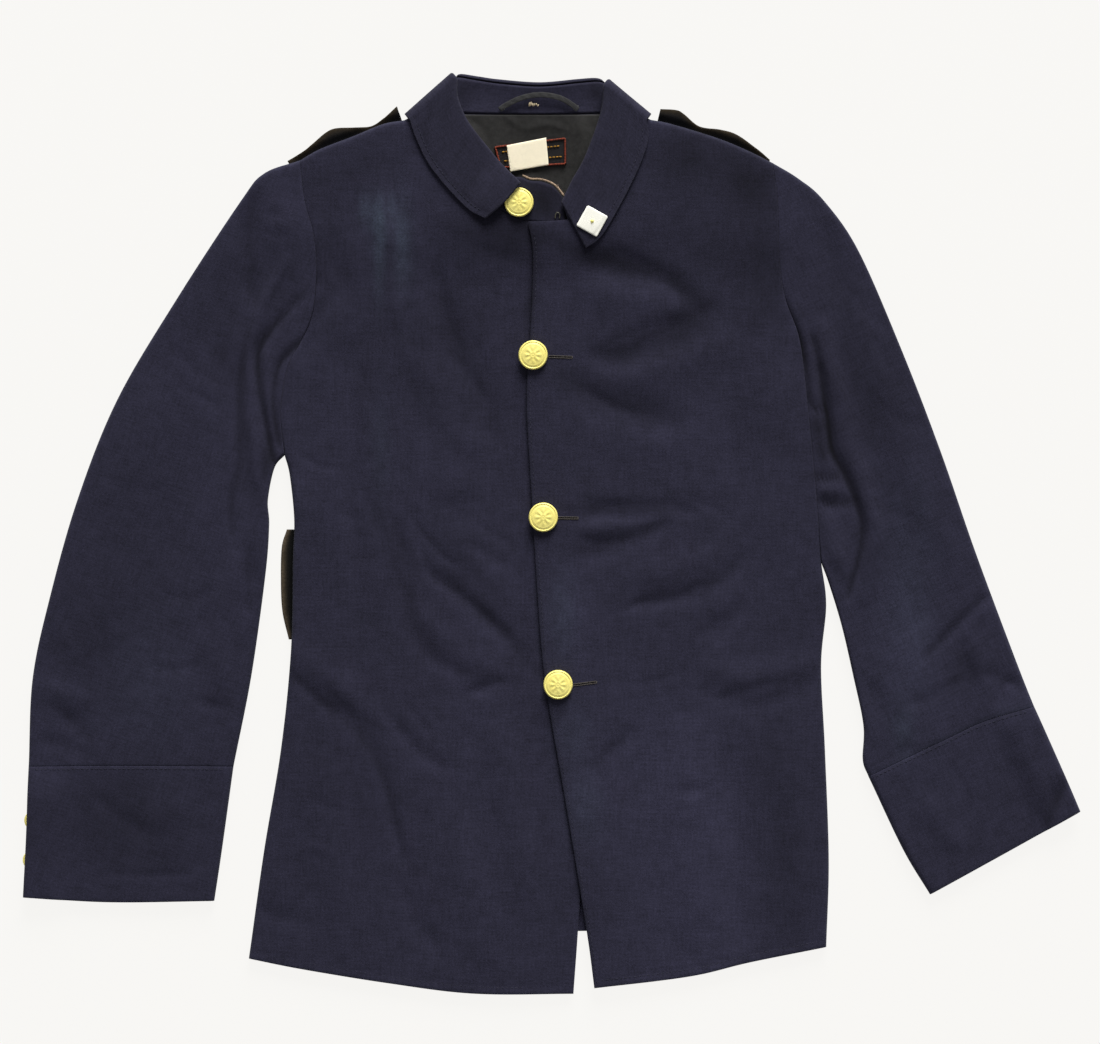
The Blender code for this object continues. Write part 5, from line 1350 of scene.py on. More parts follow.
def running_stitch(name, path, ups, finish, length=2.6, gap=1.0, radius=0.17):
    """A line of machine stitches along a path of points."""
    total = np.linalg.norm(np.diff(path, axis=0), axis=1).sum()
    count = max(int(total / (length + gap)), 2)
    uneven = np.random.default_rng(len(name)).normal(0, 0.08, (count, 2))
    begin = (np.arange(count) * (length + gap) + 0.4 + uneven[:, 0]) / total
    end = begin + (length + uneven[:, 1]) / total
    both = np.hstack([path, ups])
    first, last = along_path(both, begin), along_path(both, end)
    lift = STITCH_LIFT * radius
    return threads(name, first[:, :3] + lift * first[:, 3:], last[:, :3] + lift * last[:, 3:],
                   first[:, 3:], radius, finish)


def along_path(rows, shares):
    """Rows of a path, whose first three columns are its points, at the given shares of its length."""
    steps = np.linalg.norm(np.diff(rows[:, :3], axis=0), axis=1)
    run = np.concatenate([[0.0], np.cumsum(steps)])
    reach = np.clip(shares, 0, 1) * run[-1]
    return np.stack([np.interp(reach, run, rows[:, k]) for k in range(rows.shape[1])], axis=-1)


def topstitch(name, knots, inset_by, height, trim, count=160):
    """Stitches beside a border of a panel, over the given stretch of it."""
    line = beside(along(smooth_line(knots), np.linspace(*trim, count)), inset_by)
    path = np.column_stack([line, height(line[:, 0], line[:, 1])])
    carry(running_stitch(name, path, normals_of(line, height), seam_thread), None)


def seam_stitches():
    topstitch("hem_stitch_right", HEM_RIGHT, HEM_STITCH, front_right_top, (0.012, 0.86))
    topstitch("hem_stitch_left", HEM_LEFT, HEM_STITCH, front_left_top, (0.03, 0.985))
    topstitch("edge_stitch_left", EDGE_LEFT, -EDGE_STITCH, front_left_top, (0.005, 0.99), count=300)
    for name, knots, height in (("cuff_stitch_right", CUFF_SEAM_RIGHT, sleeve_right_top),
                                ("cuff_stitch_left", CUFF_SEAM_LEFT, sleeve_left_top)):
        topstitch(name, knots, -CUFF_STITCH, lambda x, y, h=height: h(x, y) + CUFF_STEP, (0.03, 0.97))


def collar_stitches():
    for side, knots, inset_by in (("right", LEAF_RIGHT, -LEAF_STITCH), ("left", LEAF_LEFT, LEAF_STITCH)):
        topstitch("collar_stitch_" + side, knots, inset_by,
                  lambda x, y, s=side: leaf_height(x, y, s) + LEAF_HALF, (0.06, 0.97))


def on_left_front(plan, lift):
    """Points on the top front, a little above its cloth."""
    return np.column_stack([plan, front_left_top(plan[:, 0], plan[:, 1]) + lift])


def buttonhole(name, start, end):
    """A stitched buttonhole in the top front: close threads round a slit, a dark disc of painted shade."""
    start, end = np.array(start, float), np.array(end, float)
    length = np.linalg.norm(end - start)
    way = (end - start) / length
    across = np.array([-way[1], way[0]])
    half, rim, spacing, end_threads, slit_points = 0.3, 0.9, 0.42, 11, 40
    inner, outer = [], []
    for side in (1, -1):
        for reach in np.arange(0, length, spacing)[::side]:
            inner.append(start + way * reach + side * across * half)
            outer.append(start + way * reach + side * across * (half + rim))
        centre, first = (end, 90) if side == 1 else (start, -90)
        for angle in np.radians(np.linspace(first, first - 180, end_threads)[1:-1]):
            ray = math.cos(angle) * way + math.sin(angle) * across
            inner.append(centre + ray * half)
            outer.append(centre + ray * (half + rim))
    inner, outer = np.array(inner), np.array(outer)
    uneven = np.random.default_rng(3).normal(0, 0.07, len(outer))
    outer = outer + (outer - inner) * uneven[:, None]
    ring = threads(name, on_left_front(inner, 0.12), on_left_front(outer, 0.12),
                   normals_of(inner, front_left_top), 0.24, buttonhole_thread, 0.5)
    carry(ring, None)
    turns = np.linspace(0, 2 * math.pi, slit_points, endpoint=False)
    middle, reach = 0.5 * (start + end), 0.5 * length + half
    slit = middle + np.outer(np.cos(turns) * reach, way) + np.outer(np.sin(turns) * (half + 0.15), across)
    fan = [(k, (k + 1) % slit_points, slit_points) for k in range(slit_points)]
    carry(mesh_piece(name + "_slit", on_left_front(np.vstack([slit, middle]), 0.08), fan, slit_painted_shade),
          None)


def level_cloth(name, corners, z, wall, finish, node, columns=40, rows=30,
                wave=0.25, curl=0.0, folds=()):
    """A nearly flat piece between four corners: lower left, lower right, upper right, upper left."""
    a, b, c, d = (np.array(k, float) for k in corners)
    u = np.linspace(0, 1, columns + 1)[None, :, None]
    v = np.linspace(0, 1, rows + 1)[:, None, None]
    plan = (1 - v) * ((1 - u) * a + u * b) + v * ((1 - u) * d + u * c)
    x, y = plan[..., 0], plan[..., 1]
    rim = np.minimum(np.minimum(u, 1 - u), np.minimum(v, 1 - v))[..., 0]
    z = z + 2.5 * wave * ripple(x * 1.1, y * 1.1) - curl * np.exp(-rim * 30) + relief(x, y, folds)
    piece = cloth(name, at_height(plan, z), wall, finish)
    carry(piece, node)


LINING_LOWER = SHOULDER_LIFT + BACK_WALL + LAYER_GAP
LINING_UPPER = LINING_LOWER + LINING_WALL
LABEL_UPPER = LINING_UPPER + SEAM_GAP + LABEL_WALL
PATCH_UPPER = LABEL_UPPER + SEAM_GAP + LABEL_WALL + PATCH_CLEAR
LINING_AT = ((-66, 250), (44, 250), (54, 325.5), (-84, 325.5))
LABEL_AT = ((-40, 284), (12, 287), (12, 307.5), (-44.5, 300.5))
PATCH_AT = ((-31.8, 281), (-1.8, 286.3), (-3.8, 307.6), (-34.6, 301.5))


def label_sewing(name, line, finish, lift, **stitches):
    """Stitches on the label along a plan line."""
    path = np.column_stack([line, np.full(len(line), LABEL_UPPER + lift)])
    carry(running_stitch(name, path, upright(len(path)), finish, **stitches), None)


def neck_pieces():
    """The back lining, the label with its border and two plain lines, and the blank patch on it."""
    level_cloth("neck_lining_cloth", LINING_AT, LINING_UPPER, LINING_SHELL, lining_cloth, "neck_lining",
                columns=120, rows=70, wave=0.5,
                folds=FOLDS_LINING)
    level_cloth("label_cloth", LABEL_AT, LABEL_UPPER, LABEL_SHELL, label_cloth, "label",
                wave=0.2, curl=0.3)
    corners = [np.array(k, float) for k in LABEL_AT]
    inner = [corner * (1 - LABEL_MARGIN) + sum(corners) / 4 * LABEL_MARGIN for corner in corners]
    border = np.vstack([even([inner[k], inner[(k + 1) % 4]], 24)[:-1] for k in range(4)] + [inner[0]])
    label_sewing("label_border", border, label_red, 0.12, length=1.2, gap=0.05, radius=0.75)
    for number, share in enumerate((0.3, 0.72)):
        left = corners[0] + (corners[3] - corners[0]) * share
        right = corners[1] + (corners[2] - corners[1]) * share
        line = even([left + (right - left) * 0.08, left + (right - left) * 0.94], 40)
        label_sewing(f"label_line_{number}", line, label_gold, 0.1, length=2.2, gap=0.5, radius=0.55)
    level_cloth("name_patch_cloth", PATCH_AT, PATCH_UPPER, LABEL_SHELL, patch_cloth, "name_patch",
                curl=0.25)


def hanger():
    """The satin loop that the jacket hangs by, tacked down at both ends."""
    centre = even(LOOP_AT, 90)
    share = np.linspace(0, 1, len(centre))
    base = 2 * LEAF_HALF + LEAF_TO_STAND + LAYER_GAP + LOOP_WALL
    z = base + LEAF_BACK_RISE * np.sin(math.pi * share)
    rows = []
    for k in np.linspace(-1, 1, 9):
        crown = 0.16 * (1 - k * k) + 0.1 * np.sin(share * 60 + 2 * k)
        rows.append(np.column_stack([beside(centre, k * LOOP_HALF_WIDTH), z + crown]))
    points = np.stack(rows, axis=1)
    piece = cloth("hanger_loop_satin", points, LOOP_SHELL, loop_satin, uv=run_lengths(points))
    carry(piece, "hanger_loop")
    for number, (x, y) in enumerate(((-38, 331), (19, 331.3))):
        start = np.array([[x - 1.6 + 0.8 * k, y - 1.6, base + 0.35] for k in range(5)])
        end = start + np.array([0.5, 3.1, 0.15])
        carry(threads(f"hanger_tack_{number}", start, end, upright(5), 0.3, tack_thread), None)
    start = np.array([[-17.2 + 1.1 * k, 332.2 + 0.4 * (k % 3), base - 0.6] for k in range(7)])
    end = start + np.array([[0.8 * math.cos(k), 3.4 - 0.3 * k, 0.7] for k in range(7)])
    carry(threads("cream_knot", start, end, upright(7), 0.62, cream_thread, 1.2), None)


def frayed_edging():
    """The tan edge where the tab of the stand has worn through."""
    line = beside(even(BAND_TOP, 90), 3 * SEAM_GAP + EDGING_RADIUS)
    rng = np.random.default_rng(8)
    z = stand_height(line[:, 0], line[:, 1], "right")
    uneven = 0.1 * np.sin(np.arange(len(line)) * 0.9) + rng.normal(0, 0.05, len(line))
    size = EDGING_RADIUS * (0.92 + uneven)
    size[:3] *= (0.3, 0.7, 0.9)
    size[-3:] *= (0.9, 0.7, 0.3)
    carry(rod("worn_edge", line, z, size, 10, worn_edging), "band_edge")
    begin = np.array([[*line[k], z[k] + 0.5] for k in range(3, 88, 4)])
    end = begin + np.column_stack([rng.normal(0, 0.8, len(begin)), rng.uniform(0.6, 1.6, len(begin)),
                                   rng.uniform(0.0, 0.5, len(begin))])
    carry(threads("worn_threads", begin, end, upright(len(begin)), 0.13, worn_edging, 1.0), None)


def straps():
    """Straps that lie under the back of the shoulders and show beyond the shoulder line."""
    v = np.linspace(0, 1, 40)[:, None, None]
    for side, outer, inner, shoulder in (("right", STRAP_OUTER_RIGHT, STRAP_INNER_RIGHT, SHOULDER_RIGHT),
                                         ("left", STRAP_OUTER_LEFT, STRAP_INNER_LEFT, SHOULDER_LEFT)):
        plan = even(inner, 70)[None] * (1 - v) + even(outer, 70)[None] * v
        silhouette = smooth_line(shoulder)
        order = np.argsort(silhouette[:, 0])
        proud = plan[..., 1] - np.interp(plan[..., 0], silhouette[order, 0], silhouette[order, 1])
        inward = np.broadcast_to(1 - v[..., 0], proud.shape)
        z = STRAP_WALL + 2.2 * soft_step(proud / 7) - 0.5 * np.exp(-inward * 30)
        points = at_height(plan, z)
        if side == "left":
            points = points[:, ::-1]
        # The strap is dark cloth painted near-black as the shade of its roll over the shoulder
        edge_tint = np.exp(-(inward * 40 / 3.2) ** 2)
        piece = cloth(f"shoulder_strap_{side}_cloth", points, STRAP_SHELL, strap_cloth_painted_shade, edge=edge_tint)
        carry(piece, f"shoulder_strap_{side}")


def side_tab():
    """The strip at the right side seam, dark cloth painted near-black as shade, browner along its outer
    edge.
    """
    outer = even(TAB_OUTER, 50)[::-1]
    inner = np.column_stack([np.full(len(outer), TAB_INNER_X), outer[:, 1]])
    shares = np.linspace(0, 1, 18)
    plan = spread(outer, inner, shares)
    inward = np.broadcast_to(shares, plan.shape[:2])
    z = TAB_WALL - 0.4 * np.exp(-inward * 25)
    edge_tint = np.exp(-(inward * 22.0 / 3.0) ** 2)
    piece = cloth("side_tab_cloth", at_height(plan, z), TAB_SHELL, tab_cloth_painted_shade, edge=edge_tint)
    carry(piece, "side_tab")


def turned_metal(name, profile, at, finish, relief_by=None, flipped=False, sides=72):
    """A turned piece: radius and height pairs, from the top's centre to the bottom's."""
    points = [(0.0, 0.0, profile[0][1])]
    rings = profile[1:-1]
    for radius, z in rings:
        for s in range(sides):
            turn = 2 * math.pi * s / sides
            struck = relief_by(radius, turn) if relief_by else 0.0
            points.append((radius * math.cos(turn), radius * math.sin(turn), z + struck))
    points.append((0.0, 0.0, profile[-1][1]))
    last, base = len(points) - 1, 1 + (len(rings) - 1) * sides
    faces = [(0, 1 + s, 1 + (s + 1) % sides) for s in range(sides)]
    faces += tube_faces(len(rings), sides, 1, capped=False)
    faces += [(last, base + (s + 1) % sides, base + s) for s in range(sides)]
    points = np.array(points)
    if flipped:
        points = points * (1, -1, -1)
    return mesh_piece(name, points + np.array(at, float), faces, finish, uv=points[:, :2])


def gilt_button(name, at, radius, height, node, flipped=False):
    """A domed gilt button: a plain rim, and a plain rosette struck in low relief."""
    profile = [(0.0, height)]
    for share in np.linspace(0.03, 0.80, 26):
        profile.append((radius * share, height * (0.62 + 0.36 * math.sqrt(1 - (share / 0.86) ** 2))))
    profile += [(radius * share, height * up) for share, up in BUTTON_RIM]
    profile.append((0.0, 0.0))

    def struck(r, turn):
        share = r / radius
        if not 0.05 < share < 0.8:
            return 0.0
        petals = 0.22 * math.cos(8 * turn) * math.exp(-((share - 0.42) / 0.16) ** 2)
        ring = 0.16 * math.exp(-((share - 0.72) / 0.03) ** 2)
        heart = 0.14 * math.exp(-((share - 0.17) / 0.06) ** 2)
        return (petals + ring + heart - 0.12) * radius / BUTTON_RADIUS

    carry(turned_metal(name, profile, at, gilt_brass, struck, flipped), node)


def highest_under(x, y, radius, height):
    """The highest cloth under a disc."""
    angles = np.linspace(0, 2 * math.pi, 12, endpoint=False)
    reach = np.concatenate([[0.0], np.full(12, radius), np.full(12, 0.5 * radius)])
    turns = np.concatenate([[0.0], angles, angles])
    return float(np.max(height(x + reach * np.cos(turns), y + reach * np.sin(turns))))


def fronts_top(x, y):
    """Outer height of whichever front is uppermost."""
    over = (past_edge(x, y) > 0) & (y < LAP_LEFT[-1][1])
    return np.where(over, front_left_top(x, y), front_right_top(x, y))


def buttons():
    """The four front buttons, and two under each cuff's outer edge, face down."""
    for number, (x, y) in BUTTON_AT.items():
        z = highest_under(x, y, BUTTON_RADIUS, fronts_top) + BUTTON_CLEAR
        gilt_button(f"button_front_{number}", (x, y, z), BUTTON_RADIUS, BUTTON_HEIGHT,
                    f"front_button_{number}")
    for side, border in (("right", CUFF_OUTER_RIGHT), ("left", CUFF_OUTER_LEFT)):
        hem, top = border[0], border[-1]
        up = np.subtract(top, hem) / math.dist(top, hem)
        inward = np.array([up[1], -up[0]]) * (1 if side == "right" else -1)
        for number, upward in enumerate(CUFF_BUTTONS_UP, 1):
            x, y = np.array(hem) + up * upward + inward * CUFF_BUTTONS_IN[side]
            gilt_button(f"button_cuff_{side}_{number}", (x, y, CUFF_BUTTON_HEIGHT),
                        CUFF_BUTTON_RADIUS, CUFF_BUTTON_HEIGHT, f"cuff_button_{side}_{number}",
                        flipped=True)


def badge():
    """The white square, with rounded corners, and its rivet on the left end of the leaf."""
    turn = math.radians(BADGE_TURN)
    away = np.array([math.cos(turn), math.sin(turn)])
    up = np.array([-away[1], away[0]])
    u, v = np.meshgrid(*2 * [np.linspace(-1, 1, 25)])
    over_u, over_v = (np.maximum(np.abs(k) - BADGE_STRAIGHT, 0) for k in (u, v))
    corner = np.hypot(over_u, over_v) / BADGE_CORNER
    shrink = np.where(corner > 1, 1 / np.maximum(corner, 1e-6), 1.0)
    u, v = (np.sign(k) * (np.minimum(np.abs(k), BADGE_STRAIGHT) + over * shrink)
            for k, over in ((u, over_u), (v, over_v)))
    plan = BADGE_AT + 0.5 * BADGE_SIDE * (u[..., None] * away + v[..., None] * up)
    rim = np.clip((1 - np.maximum(np.abs(u), np.abs(v))) / 0.12, 0, 1)
    raised = LEAF_HALF + LAYER_GAP + BADGE_WALL
    z = leaf_height(plan[..., 0], plan[..., 1], "left") + raised - 0.25 * (1 - rim) ** 2
    piece = cloth("collar_badge_plate", at_height(plan, z), BADGE_SHELL, badge_white)
    carry(piece, "collar_badge")
    top = float(leaf_height(*BADGE_AT, "left")) + raised
    carry(turned_metal("badge_rivet_head", RIVET_PROFILE, (*BADGE_AT, top + 0.05), gilt_brass, sides=32),
          "badge_rivet")


def hook():
    """A small wire hook on the button tab, by the left end of the leaf."""
    line = even(HOOK_AT, 48)
    top = float(np.max(right_front_height(line[:, 0], line[:, 1]))) + SEAM_GAP + WIRE_RADIUS
    size = np.full(len(line), WIRE_RADIUS)
    size[[0, -1]] *= 1.15
    carry(rod("wire_hook", line, np.full(len(line), top), size, 12, dull_wire), "collar_hook")


# ---- finishes


def maths(tree, operation, a, b=None):
    made = tree.nodes.new("ShaderNodeMath")
    made.operation = operation
    for socket, value in zip(made.inputs, (a, b)):
        if isinstance(value, (int, float)):
            socket.default_value = value
        elif value is not None:
            tree.links.new(value, socket)
    return made.outputs[0]


def plus(tree, base, field, share):
    """The base, plus a share of a field."""
    return maths(tree, "ADD", base, maths(tree, "MULTIPLY", field, share))


def swing(tree, base, field, share):
    """The base, plus a share of how far a field of about 0.5 lies above or below its middle."""
    return plus(tree, base, maths(tree, "SUBTRACT", field, 0.5), share)


def noise(tree, vector, scale, detail=2.0, roughness=0.5):
    made = tree.nodes.new("ShaderNodeTexNoise")
    tree.links.new(vector, made.inputs["Vector"])
    for name, value in (("Scale", scale), ("Detail", detail), ("Roughness", roughness)):
        made.inputs[name].default_value = value
    return made.outputs[0]


def separate(tree, vector):
    """A vector's x, y and z."""
    made = tree.nodes.new("ShaderNodeSeparateXYZ")
    tree.links.new(vector, made.inputs[0])
    return made.outputs


def stretched(tree, vector, by):
    """The coordinates multiplied by three numbers."""
    made = tree.nodes.new("ShaderNodeVectorMath")
    made.operation = "MULTIPLY"
    tree.links.new(vector, made.inputs[0])
    made.inputs[1].default_value = by
    return made.outputs[0]


def toned(tree, colour, shade):
    """A colour made lighter or darker by a factor."""
    made = tree.nodes.new("ShaderNodeVectorMath")
    made.operation = "SCALE"
    tree.links.new(colour, made.inputs[0])
    tree.links.new(shade, made.inputs["Scale"])
    return made.outputs[0]


def blend(tree, share, first, second):
    """Two colours, each a socket or three numbers, mixed by a share of the second."""
    made = tree.nodes.new("ShaderNodeMix")
    made.data_type = "RGBA"
    tree.links.new(share, made.inputs["Factor"])
    for label, colour in (("A", first), ("B", second)):
        if isinstance(colour, bpy.types.NodeSocket):
            tree.links.new(colour, made.inputs[label])
        else:
            made.inputs[label].default_value = (*colour, 1)
    return made.outputs["Result"]


def mesh_value(tree, name):
    """The number that the mesh holds at each point under this name."""
    made = tree.nodes.new("ShaderNodeAttribute")
    made.attribute_name = name
    return made.outputs["Fac"]


def own_place(tree):
    """Places in metres in the piece's own space."""
    return tree.nodes.new("ShaderNodeTexCoord").outputs["Object"]


def effect(name, colours, numbers):
    """A node group that makes a colour, a roughness and a height from a vector and the named inputs."""
    group = bpy.data.node_groups.new(name, "ShaderNodeTree")

    def socket(label, kind, way="INPUT"):
        return group.interface.new_socket(name=label, in_out=way, socket_type="NodeSocket" + kind)

    socket("Vector", "Vector")
    for label in colours:
        socket(label, "Color")
    for label, value in numbers.items():
        socket(label, "Float").default_value = value
    for label, kind in (("Color", "Color"), ("Roughness", "Float"), ("Height", "Float")):
        socket(label, kind, "OUTPUT")
    return group, group.nodes.new("NodeGroupInput").outputs, group.nodes.new("NodeGroupOutput").inputs


def wool_twill_group():
    """Fulled twill: fine diagonal ribs nearly hidden by felted fibres, with slow shade changes."""
    tree, given, result = effect("wool_twill", ("Cloth Color", "Worn Color"), {"Wear": 0.0, "Shade": 0.0})
    vector = given["Vector"]
    place = separate(tree, vector)
    diagonal = maths(tree, "MULTIPLY", maths(tree, "ADD", place[0], place[1]), 2 * math.pi / TWILL_RIB)
    uneven = maths(tree, "MULTIPLY", noise(tree, vector, scale=900.0), 3.0)
    rib = maths(tree, "SINE", maths(tree, "ADD", diagonal, uneven))
    fibre = noise(tree, vector, scale=1500.0, detail=3.0, roughness=0.7)
    grain = noise(tree, vector, scale=620.0, roughness=0.6)
    patch = noise(tree, vector, scale=85.0, detail=3.0, roughness=0.58)
    slow = noise(tree, vector, scale=9.0)
    shade = swing(tree, 1.0, grain, 1.15)
    shade = swing(tree, shade, fibre, 0.9)
    shade = plus(tree, shade, rib, 0.08)
    for along_thread in ((1.0, 0.10, 1.0), (0.10, 1.0, 1.0)):
        slub = noise(tree, stretched(tree, vector, along_thread), scale=520.0, detail=3.0, roughness=0.65)
        shade = swing(tree, shade, slub, 0.6)
    shade = swing(tree, shade, patch, 0.62)
    shade = swing(tree, shade, slow, 0.40)
    # Painted shade from the mesh darkens the colour; where it is below zero it paints light
    shade = maths(tree, "MULTIPLY", shade, maths(tree, "SUBTRACT", 1.0, given["Shade"]))
    worn = maths(tree, "MULTIPLY", given["Wear"], maths(tree, "ADD", 0.45, patch))
    colour = blend(tree, maths(tree, "MINIMUM", worn, 1.0), given["Cloth Color"], given["Worn Color"])
    felt = plus(tree, maths(tree, "MULTIPLY", fibre, 0.8), grain, 0.9)
    link = tree.links.new
    link(toned(tree, colour, shade), result["Color"])
    link(plus(tree, 0.84, grain, 0.14), result["Roughness"])
    link(plus(tree, felt, rib, 0.18), result["Height"])
    return tree


def plain_weave_group():
    """A plain weave of warp and weft threads with slight unevenness."""
    tree, given, result = effect("plain_weave", ["Cloth Color"], {"Thread": 0.0006, "Contrast": 0.3})
    vector = given["Vector"]
    place = separate(tree, vector)
    turns = maths(tree, "DIVIDE", 2 * math.pi, given["Thread"])
    warp = maths(tree, "SINE", maths(tree, "MULTIPLY", place[0], turns))
    weft = maths(tree, "SINE", maths(tree, "MULTIPLY", place[1], turns))
    crossings = maths(tree, "MULTIPLY", warp, weft)
    uneven = noise(tree, vector, scale=240.0, detail=3.0, roughness=0.6)
    slow = noise(tree, vector, scale=18.0)
    shade = swing(tree, maths(tree, "MULTIPLY", crossings, 0.25), uneven, 1.0)
    shade = swing(tree, shade, slow, 1.0)
    shade = plus(tree, 1.0, shade, given["Contrast"])
    link = tree.links.new
    link(toned(tree, given["Cloth Color"], shade), result["Color"])
    link(plus(tree, 0.62, uneven, 0.3), result["Roughness"])
    link(maths(tree, "ADD", crossings, uneven), result["Height"])
    return tree


def new_finish(name, roughness=None, metallic=0.0, specular=0.5, sheen=0.0):
    """A new material, its nodes and its shader."""
    made = bpy.data.materials.new(name)
    made.use_nodes = True
    shader = made.node_tree.nodes["Principled BSDF"]
    shader.inputs["Metallic"].default_value = metallic
    shader.inputs["Specular IOR Level"].default_value = specular
    shader.inputs["Sheen Weight"].default_value = sheen
    shader.inputs["Sheen Roughness"].default_value = 0.5
    if roughness is not None:
        shader.inputs["Roughness"].default_value = roughness
    return made, made.node_tree, shader


def bump(tree, shader, height, strength, distance):
    made = tree.nodes.new("ShaderNodeBump")
    made.inputs["Strength"].default_value = strength
    made.inputs["Distance"].default_value = distance
    tree.links.new(height, made.inputs["Height"])
    tree.links.new(made.outputs[0], shader.inputs["Normal"])


def weave_on(tree, shader, group, depth, distance, **values):
    """Dress a shader in a weave, laid by the cloth's own coordinates."""
    made = tree.nodes.new("ShaderNodeGroup")
    made.node_tree = group
    cut = tree.nodes.new("ShaderNodeUVMap")
    cut.uv_map = "cut"
    tree.links.new(cut.outputs[0], made.inputs["Vector"])
    for key, value in values.items():
        socket = made.inputs[key.replace("_", " ")]
        if isinstance(value, bpy.types.NodeSocket):
            tree.links.new(value, socket)
        else:
            socket.default_value = value
    tree.links.new(made.outputs["Color"], shader.inputs["Base Color"])
    tree.links.new(made.outputs["Roughness"], shader.inputs["Roughness"])
    bump(tree, shader, made.outputs["Height"], depth, distance)


def faded(tree, wear):
    """The wear, and more of it in the jacket's faded places, whose edges are streaky."""
    place = own_place(tree)
    x, y, _ = separate(tree, place)
    across = swing(tree, x, noise(tree, place, scale=60.0, roughness=0.6), 0.007)
    for centre_x, centre_y, wide, tall, amount in FADED_PLACES:
        dx = maths(tree, "DIVIDE", maths(tree, "SUBTRACT", across, centre_x), wide)
        dy = maths(tree, "DIVIDE", maths(tree, "SUBTRACT", y, centre_y), tall)
        far = plus(tree, maths(tree, "MULTIPLY", dx, dx), dy, dy)
        spot = maths(tree, "EXPONENT", maths(tree, "MULTIPLY", far, -1.0))
        wear = plus(tree, wear, spot, amount)
    return wear


def wool(name, colour, worn, fades=False):
    """Navy wool, a little lighter at worn edges and, if it fades, in faded places; painted shade and light
    tone it.
    """
    made, tree, shader = new_finish(name, specular=0.12, sheen=0.04)
    wear = maths(tree, "MULTIPLY", mesh_value(tree, "edge"), 0.18)
    if fades:
        wear = faded(tree, wear)
    weave_on(tree, shader, wool_twill, 0.5, 0.00025, Cloth_Color=(*colour, 1), Worn_Color=(*worn, 1),
             Wear=wear, Shade=mesh_value(tree, "shade"))
    return made


def woven(name, colour, thread=0.0006, contrast=0.3, specular=0.25, depth=0.4):
    """A plainly woven cloth or a thread."""
    made, tree, shader = new_finish(name, specular=specular)
    weave_on(tree, shader, plain_weave, depth, 0.0002, Cloth_Color=(*colour, 1), Thread=thread,
             Contrast=contrast)
    return made


def edge_tinted_cloth(name, colour, edge_tint):
    """Near-black cloth, lighter and browner along the edge that its mesh marks."""
    made, tree, shader = new_finish(name, specular=0.1)
    weave_on(tree, shader, wool_twill, 0.4, 0.0002, Cloth_Color=(*colour, 1), Worn_Color=(*edge_tint, 1),
             Wear=mesh_value(tree, "edge"))
    return made


def metal(name, colour, dull, metallic):
    """Gilt brass, bright in some places and dull in others, and finely pitted."""
    made, tree, shader = new_finish(name, metallic=metallic)
    place = own_place(tree)
    spots = noise(tree, place, scale=900.0, detail=3.0, roughness=0.6)
    share = maths(tree, "MULTIPLY", noise(tree, place, scale=120.0), 0.55)
    tree.links.new(blend(tree, share, colour, dull), shader.inputs["Base Color"])
    tree.links.new(plus(tree, 0.30, spots, 0.2), shader.inputs["Roughness"])
    bump(tree, shader, spots, 0.12, 0.0002)
    return made


def floor_finish():
    """The pale table, which glows so that it stays even and nearly white."""
    made, tree, shader = new_finish("pale_table", roughness=0.9, specular=0.1)
    mottle = noise(tree, own_place(tree), scale=3.0, detail=3.0)
    tree.links.new(blend(tree, mottle, (0.035, 0.035, 0.0345), (0.038, 0.038, 0.0375)),
                   shader.inputs["Base Color"])
    shader.inputs["Emission Color"].default_value = (0.899, 0.889, 0.869, 1)
    shader.inputs["Emission Strength"].default_value = 1.0
    return made


# ---- the table, the light and the camera


def table():
    k = np.linspace(-FLOOR_REACH, FLOOR_REACH, FLOOR_STEPS + 1)
    x, y = np.meshgrid(k, k)
    points = np.column_stack([x.ravel(), y.ravel(), np.full(x.size, -FLOOR_DROP)])
    mesh = bpy.data.meshes.new("floor")
    mesh.from_pydata(points.tolist(), [], squares(np.arange(x.size).reshape(x.shape)).tolist())
    mesh.materials.append(floor_finish())
    floor = bpy.data.objects.new("floor", mesh)
    scene.collection.objects.link(floor)


def studio():
    """A large soft lamp beyond the collar, and an even light from all round."""
    light = bpy.data.lights.new("key", "AREA")
    light.shape = "DISK"
    light.size = KEY_SIZE
    light.energy = KEY_POWER
    light.color = KEY_COLOUR
    key = bpy.data.objects.new("key", light)
    turn, up = math.radians(KEY_TURN), math.radians(KEY_UP)
    key.location = KEY_AWAY * Vector((math.sin(turn) * math.cos(up), math.cos(turn) * math.cos(up),
                                      math.sin(up)))
    key.rotation_euler = (-key.location).to_track_quat("-Z", "Y").to_euler()
    scene.collection.objects.link(key)

    world = bpy.data.worlds.new("studio")
    world.use_nodes = True
    back = world.node_tree.nodes["Background"]
    back.inputs["Color"].default_value = ROOM_COLOUR
    back.inputs["Strength"].default_value = ROOM_LIGHT
    scene.world = world


def camera():
    """A long lens straight above."""
    lens = bpy.data.cameras.new("camera")
    lens.sensor_fit = "HORIZONTAL"
    lens.sensor_width = SENSOR
    lens.lens = SENSOR * (CAMERA_AWAY - CLOTH_LEVEL) / FIELD
    lens.clip_end = FARTHEST
    holder = bpy.data.objects.new("camera", lens)
    holder.location = (*CAMERA_AT, CAMERA_AWAY)
    scene.collection.objects.link(holder)
    scene.camera = holder
    scene.view_settings.view_transform = "Standard"


# ---- the jacket

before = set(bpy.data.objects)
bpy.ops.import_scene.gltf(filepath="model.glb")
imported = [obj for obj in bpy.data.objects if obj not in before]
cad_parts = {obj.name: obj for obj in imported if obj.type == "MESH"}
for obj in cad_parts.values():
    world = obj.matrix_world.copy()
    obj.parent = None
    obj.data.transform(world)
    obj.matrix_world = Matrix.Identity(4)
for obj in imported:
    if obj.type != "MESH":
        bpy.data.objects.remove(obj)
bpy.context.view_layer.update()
scene = bpy.context.scene
jacket = bpy.data.collections.new("cadet_jacket_cloth")
scene.collection.children.link(jacket)

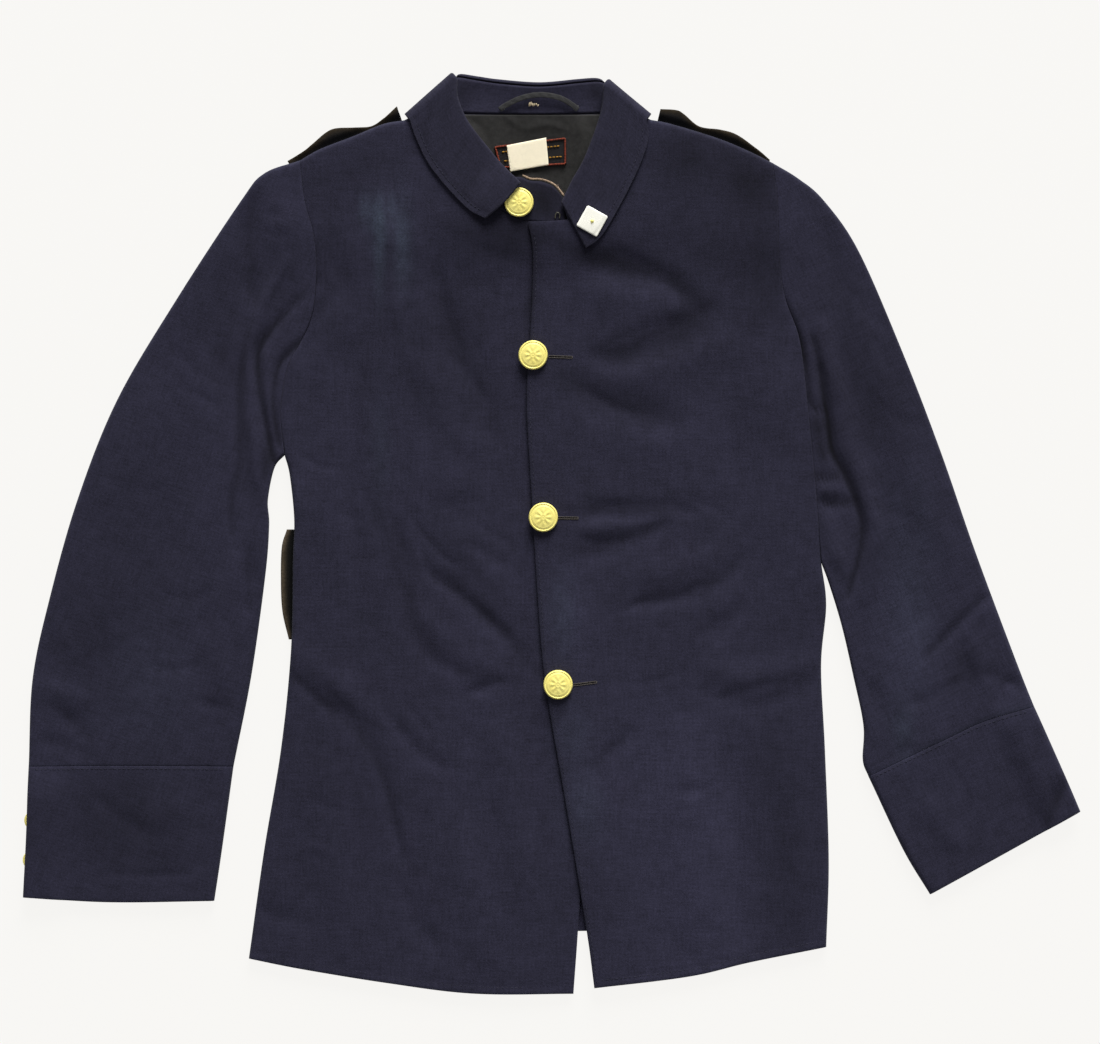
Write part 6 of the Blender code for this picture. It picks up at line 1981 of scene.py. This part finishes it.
wool_twill = wool_twill_group()
plain_weave = plain_weave_group()
navy_wool = wool("navy_wool", (0.0202, 0.0193, 0.0362), (0.045, 0.056, 0.085), fades=True)
# The hem facing is the navy wool painted lighter, as painted light in the shaded vent
hem_facing_painted_light = wool("navy_hem_facing_painted_light", (0.033, 0.0315, 0.058), (0.045, 0.056, 0.085))
navy_collar = wool("navy_collar_wool", (0.0186, 0.0178, 0.0325), (0.034, 0.034, 0.050))
lining_cloth = woven("black_lining", (0.0222, 0.0216, 0.0210), 0.0005, 1.5, specular=0.15)
# The straps are dark cloth painted near-black, as painted shade of their roll over the shoulder
strap_cloth_painted_shade = edge_tinted_cloth("dark_strap_wool_painted_shade", (0.0060, 0.0060, 0.0075), (0.024, 0.018, 0.011))
# The tab is dark cloth painted near-black, as painted shade on it
tab_cloth_painted_shade = edge_tinted_cloth("dark_tab_cloth_painted_shade", (0.004, 0.004, 0.004), (0.085, 0.066, 0.044))
label_cloth = woven("black_label", (0.010, 0.009, 0.010), 0.0004, specular=0.2)
label_red = woven("red_label_thread", (0.24, 0.045, 0.022), 0.0004, 0.5)
label_gold = woven("gold_label_thread", (0.34, 0.17, 0.020), 0.0004, 0.6)
patch_cloth = woven("white_patch_cloth", (0.96, 0.87, 0.66), 0.0006, 0.12, specular=0.2)
loop_satin = woven("grey_satin", (0.028, 0.028, 0.029), 0.0004, 0.9, specular=0.3)
tack_thread = woven("grey_tack_thread", (0.35, 0.34, 0.31), 0.0004)
cream_thread = woven("cream_thread", (0.80, 0.66, 0.44), 0.0004, 0.2)
worn_edging = woven("worn_edging_cloth", (0.42, 0.30, 0.21), 0.0005, 0.6, depth=0.7)
seam_thread = woven("navy_thread", (0.028, 0.028, 0.046), 0.0003, specular=0.3)
buttonhole_thread = woven("buttonhole_thread", (0.066, 0.058, 0.052), 0.0003, specular=0.3)
# The slit is painted shade: a near-black disc laid on the cloth in the buttonhole's opening
slit_painted_shade = woven("slit_shade", (0.004, 0.004, 0.005), specular=0.05)
badge_white = woven("badge_white_enamel", (0.94, 0.93, 0.84), 0.0006, 0.04, specular=0.4, depth=0.05)
gilt_brass = metal("gilt_brass_worn", (1.0, 0.92, 0.30), (1.0, 0.78, 0.14), 0.16)
dull_wire = metal("dull_brass_wire", (0.075, 0.070, 0.052), (0.045, 0.041, 0.032), 0.4)

table()
studio()
camera()
body_back()
body_front_right()
body_front_left()
sleeve("right")
sleeve("left")
collar_stand()
collar_leaf()
straps()
side_tab()
neck_pieces()
hanger()
frayed_edging()
seam_stitches()
collar_stitches()
buttonhole("buttonhole_2", (-1.5, 136.8), (16.0, 136.2))
buttonhole("buttonhole_3", (4.5, 11.0), (20.5, 10.8))
buttonhole("buttonhole_4", (17.5, -119.4), (35.0, -117.2))
buttons()
badge()
hook()
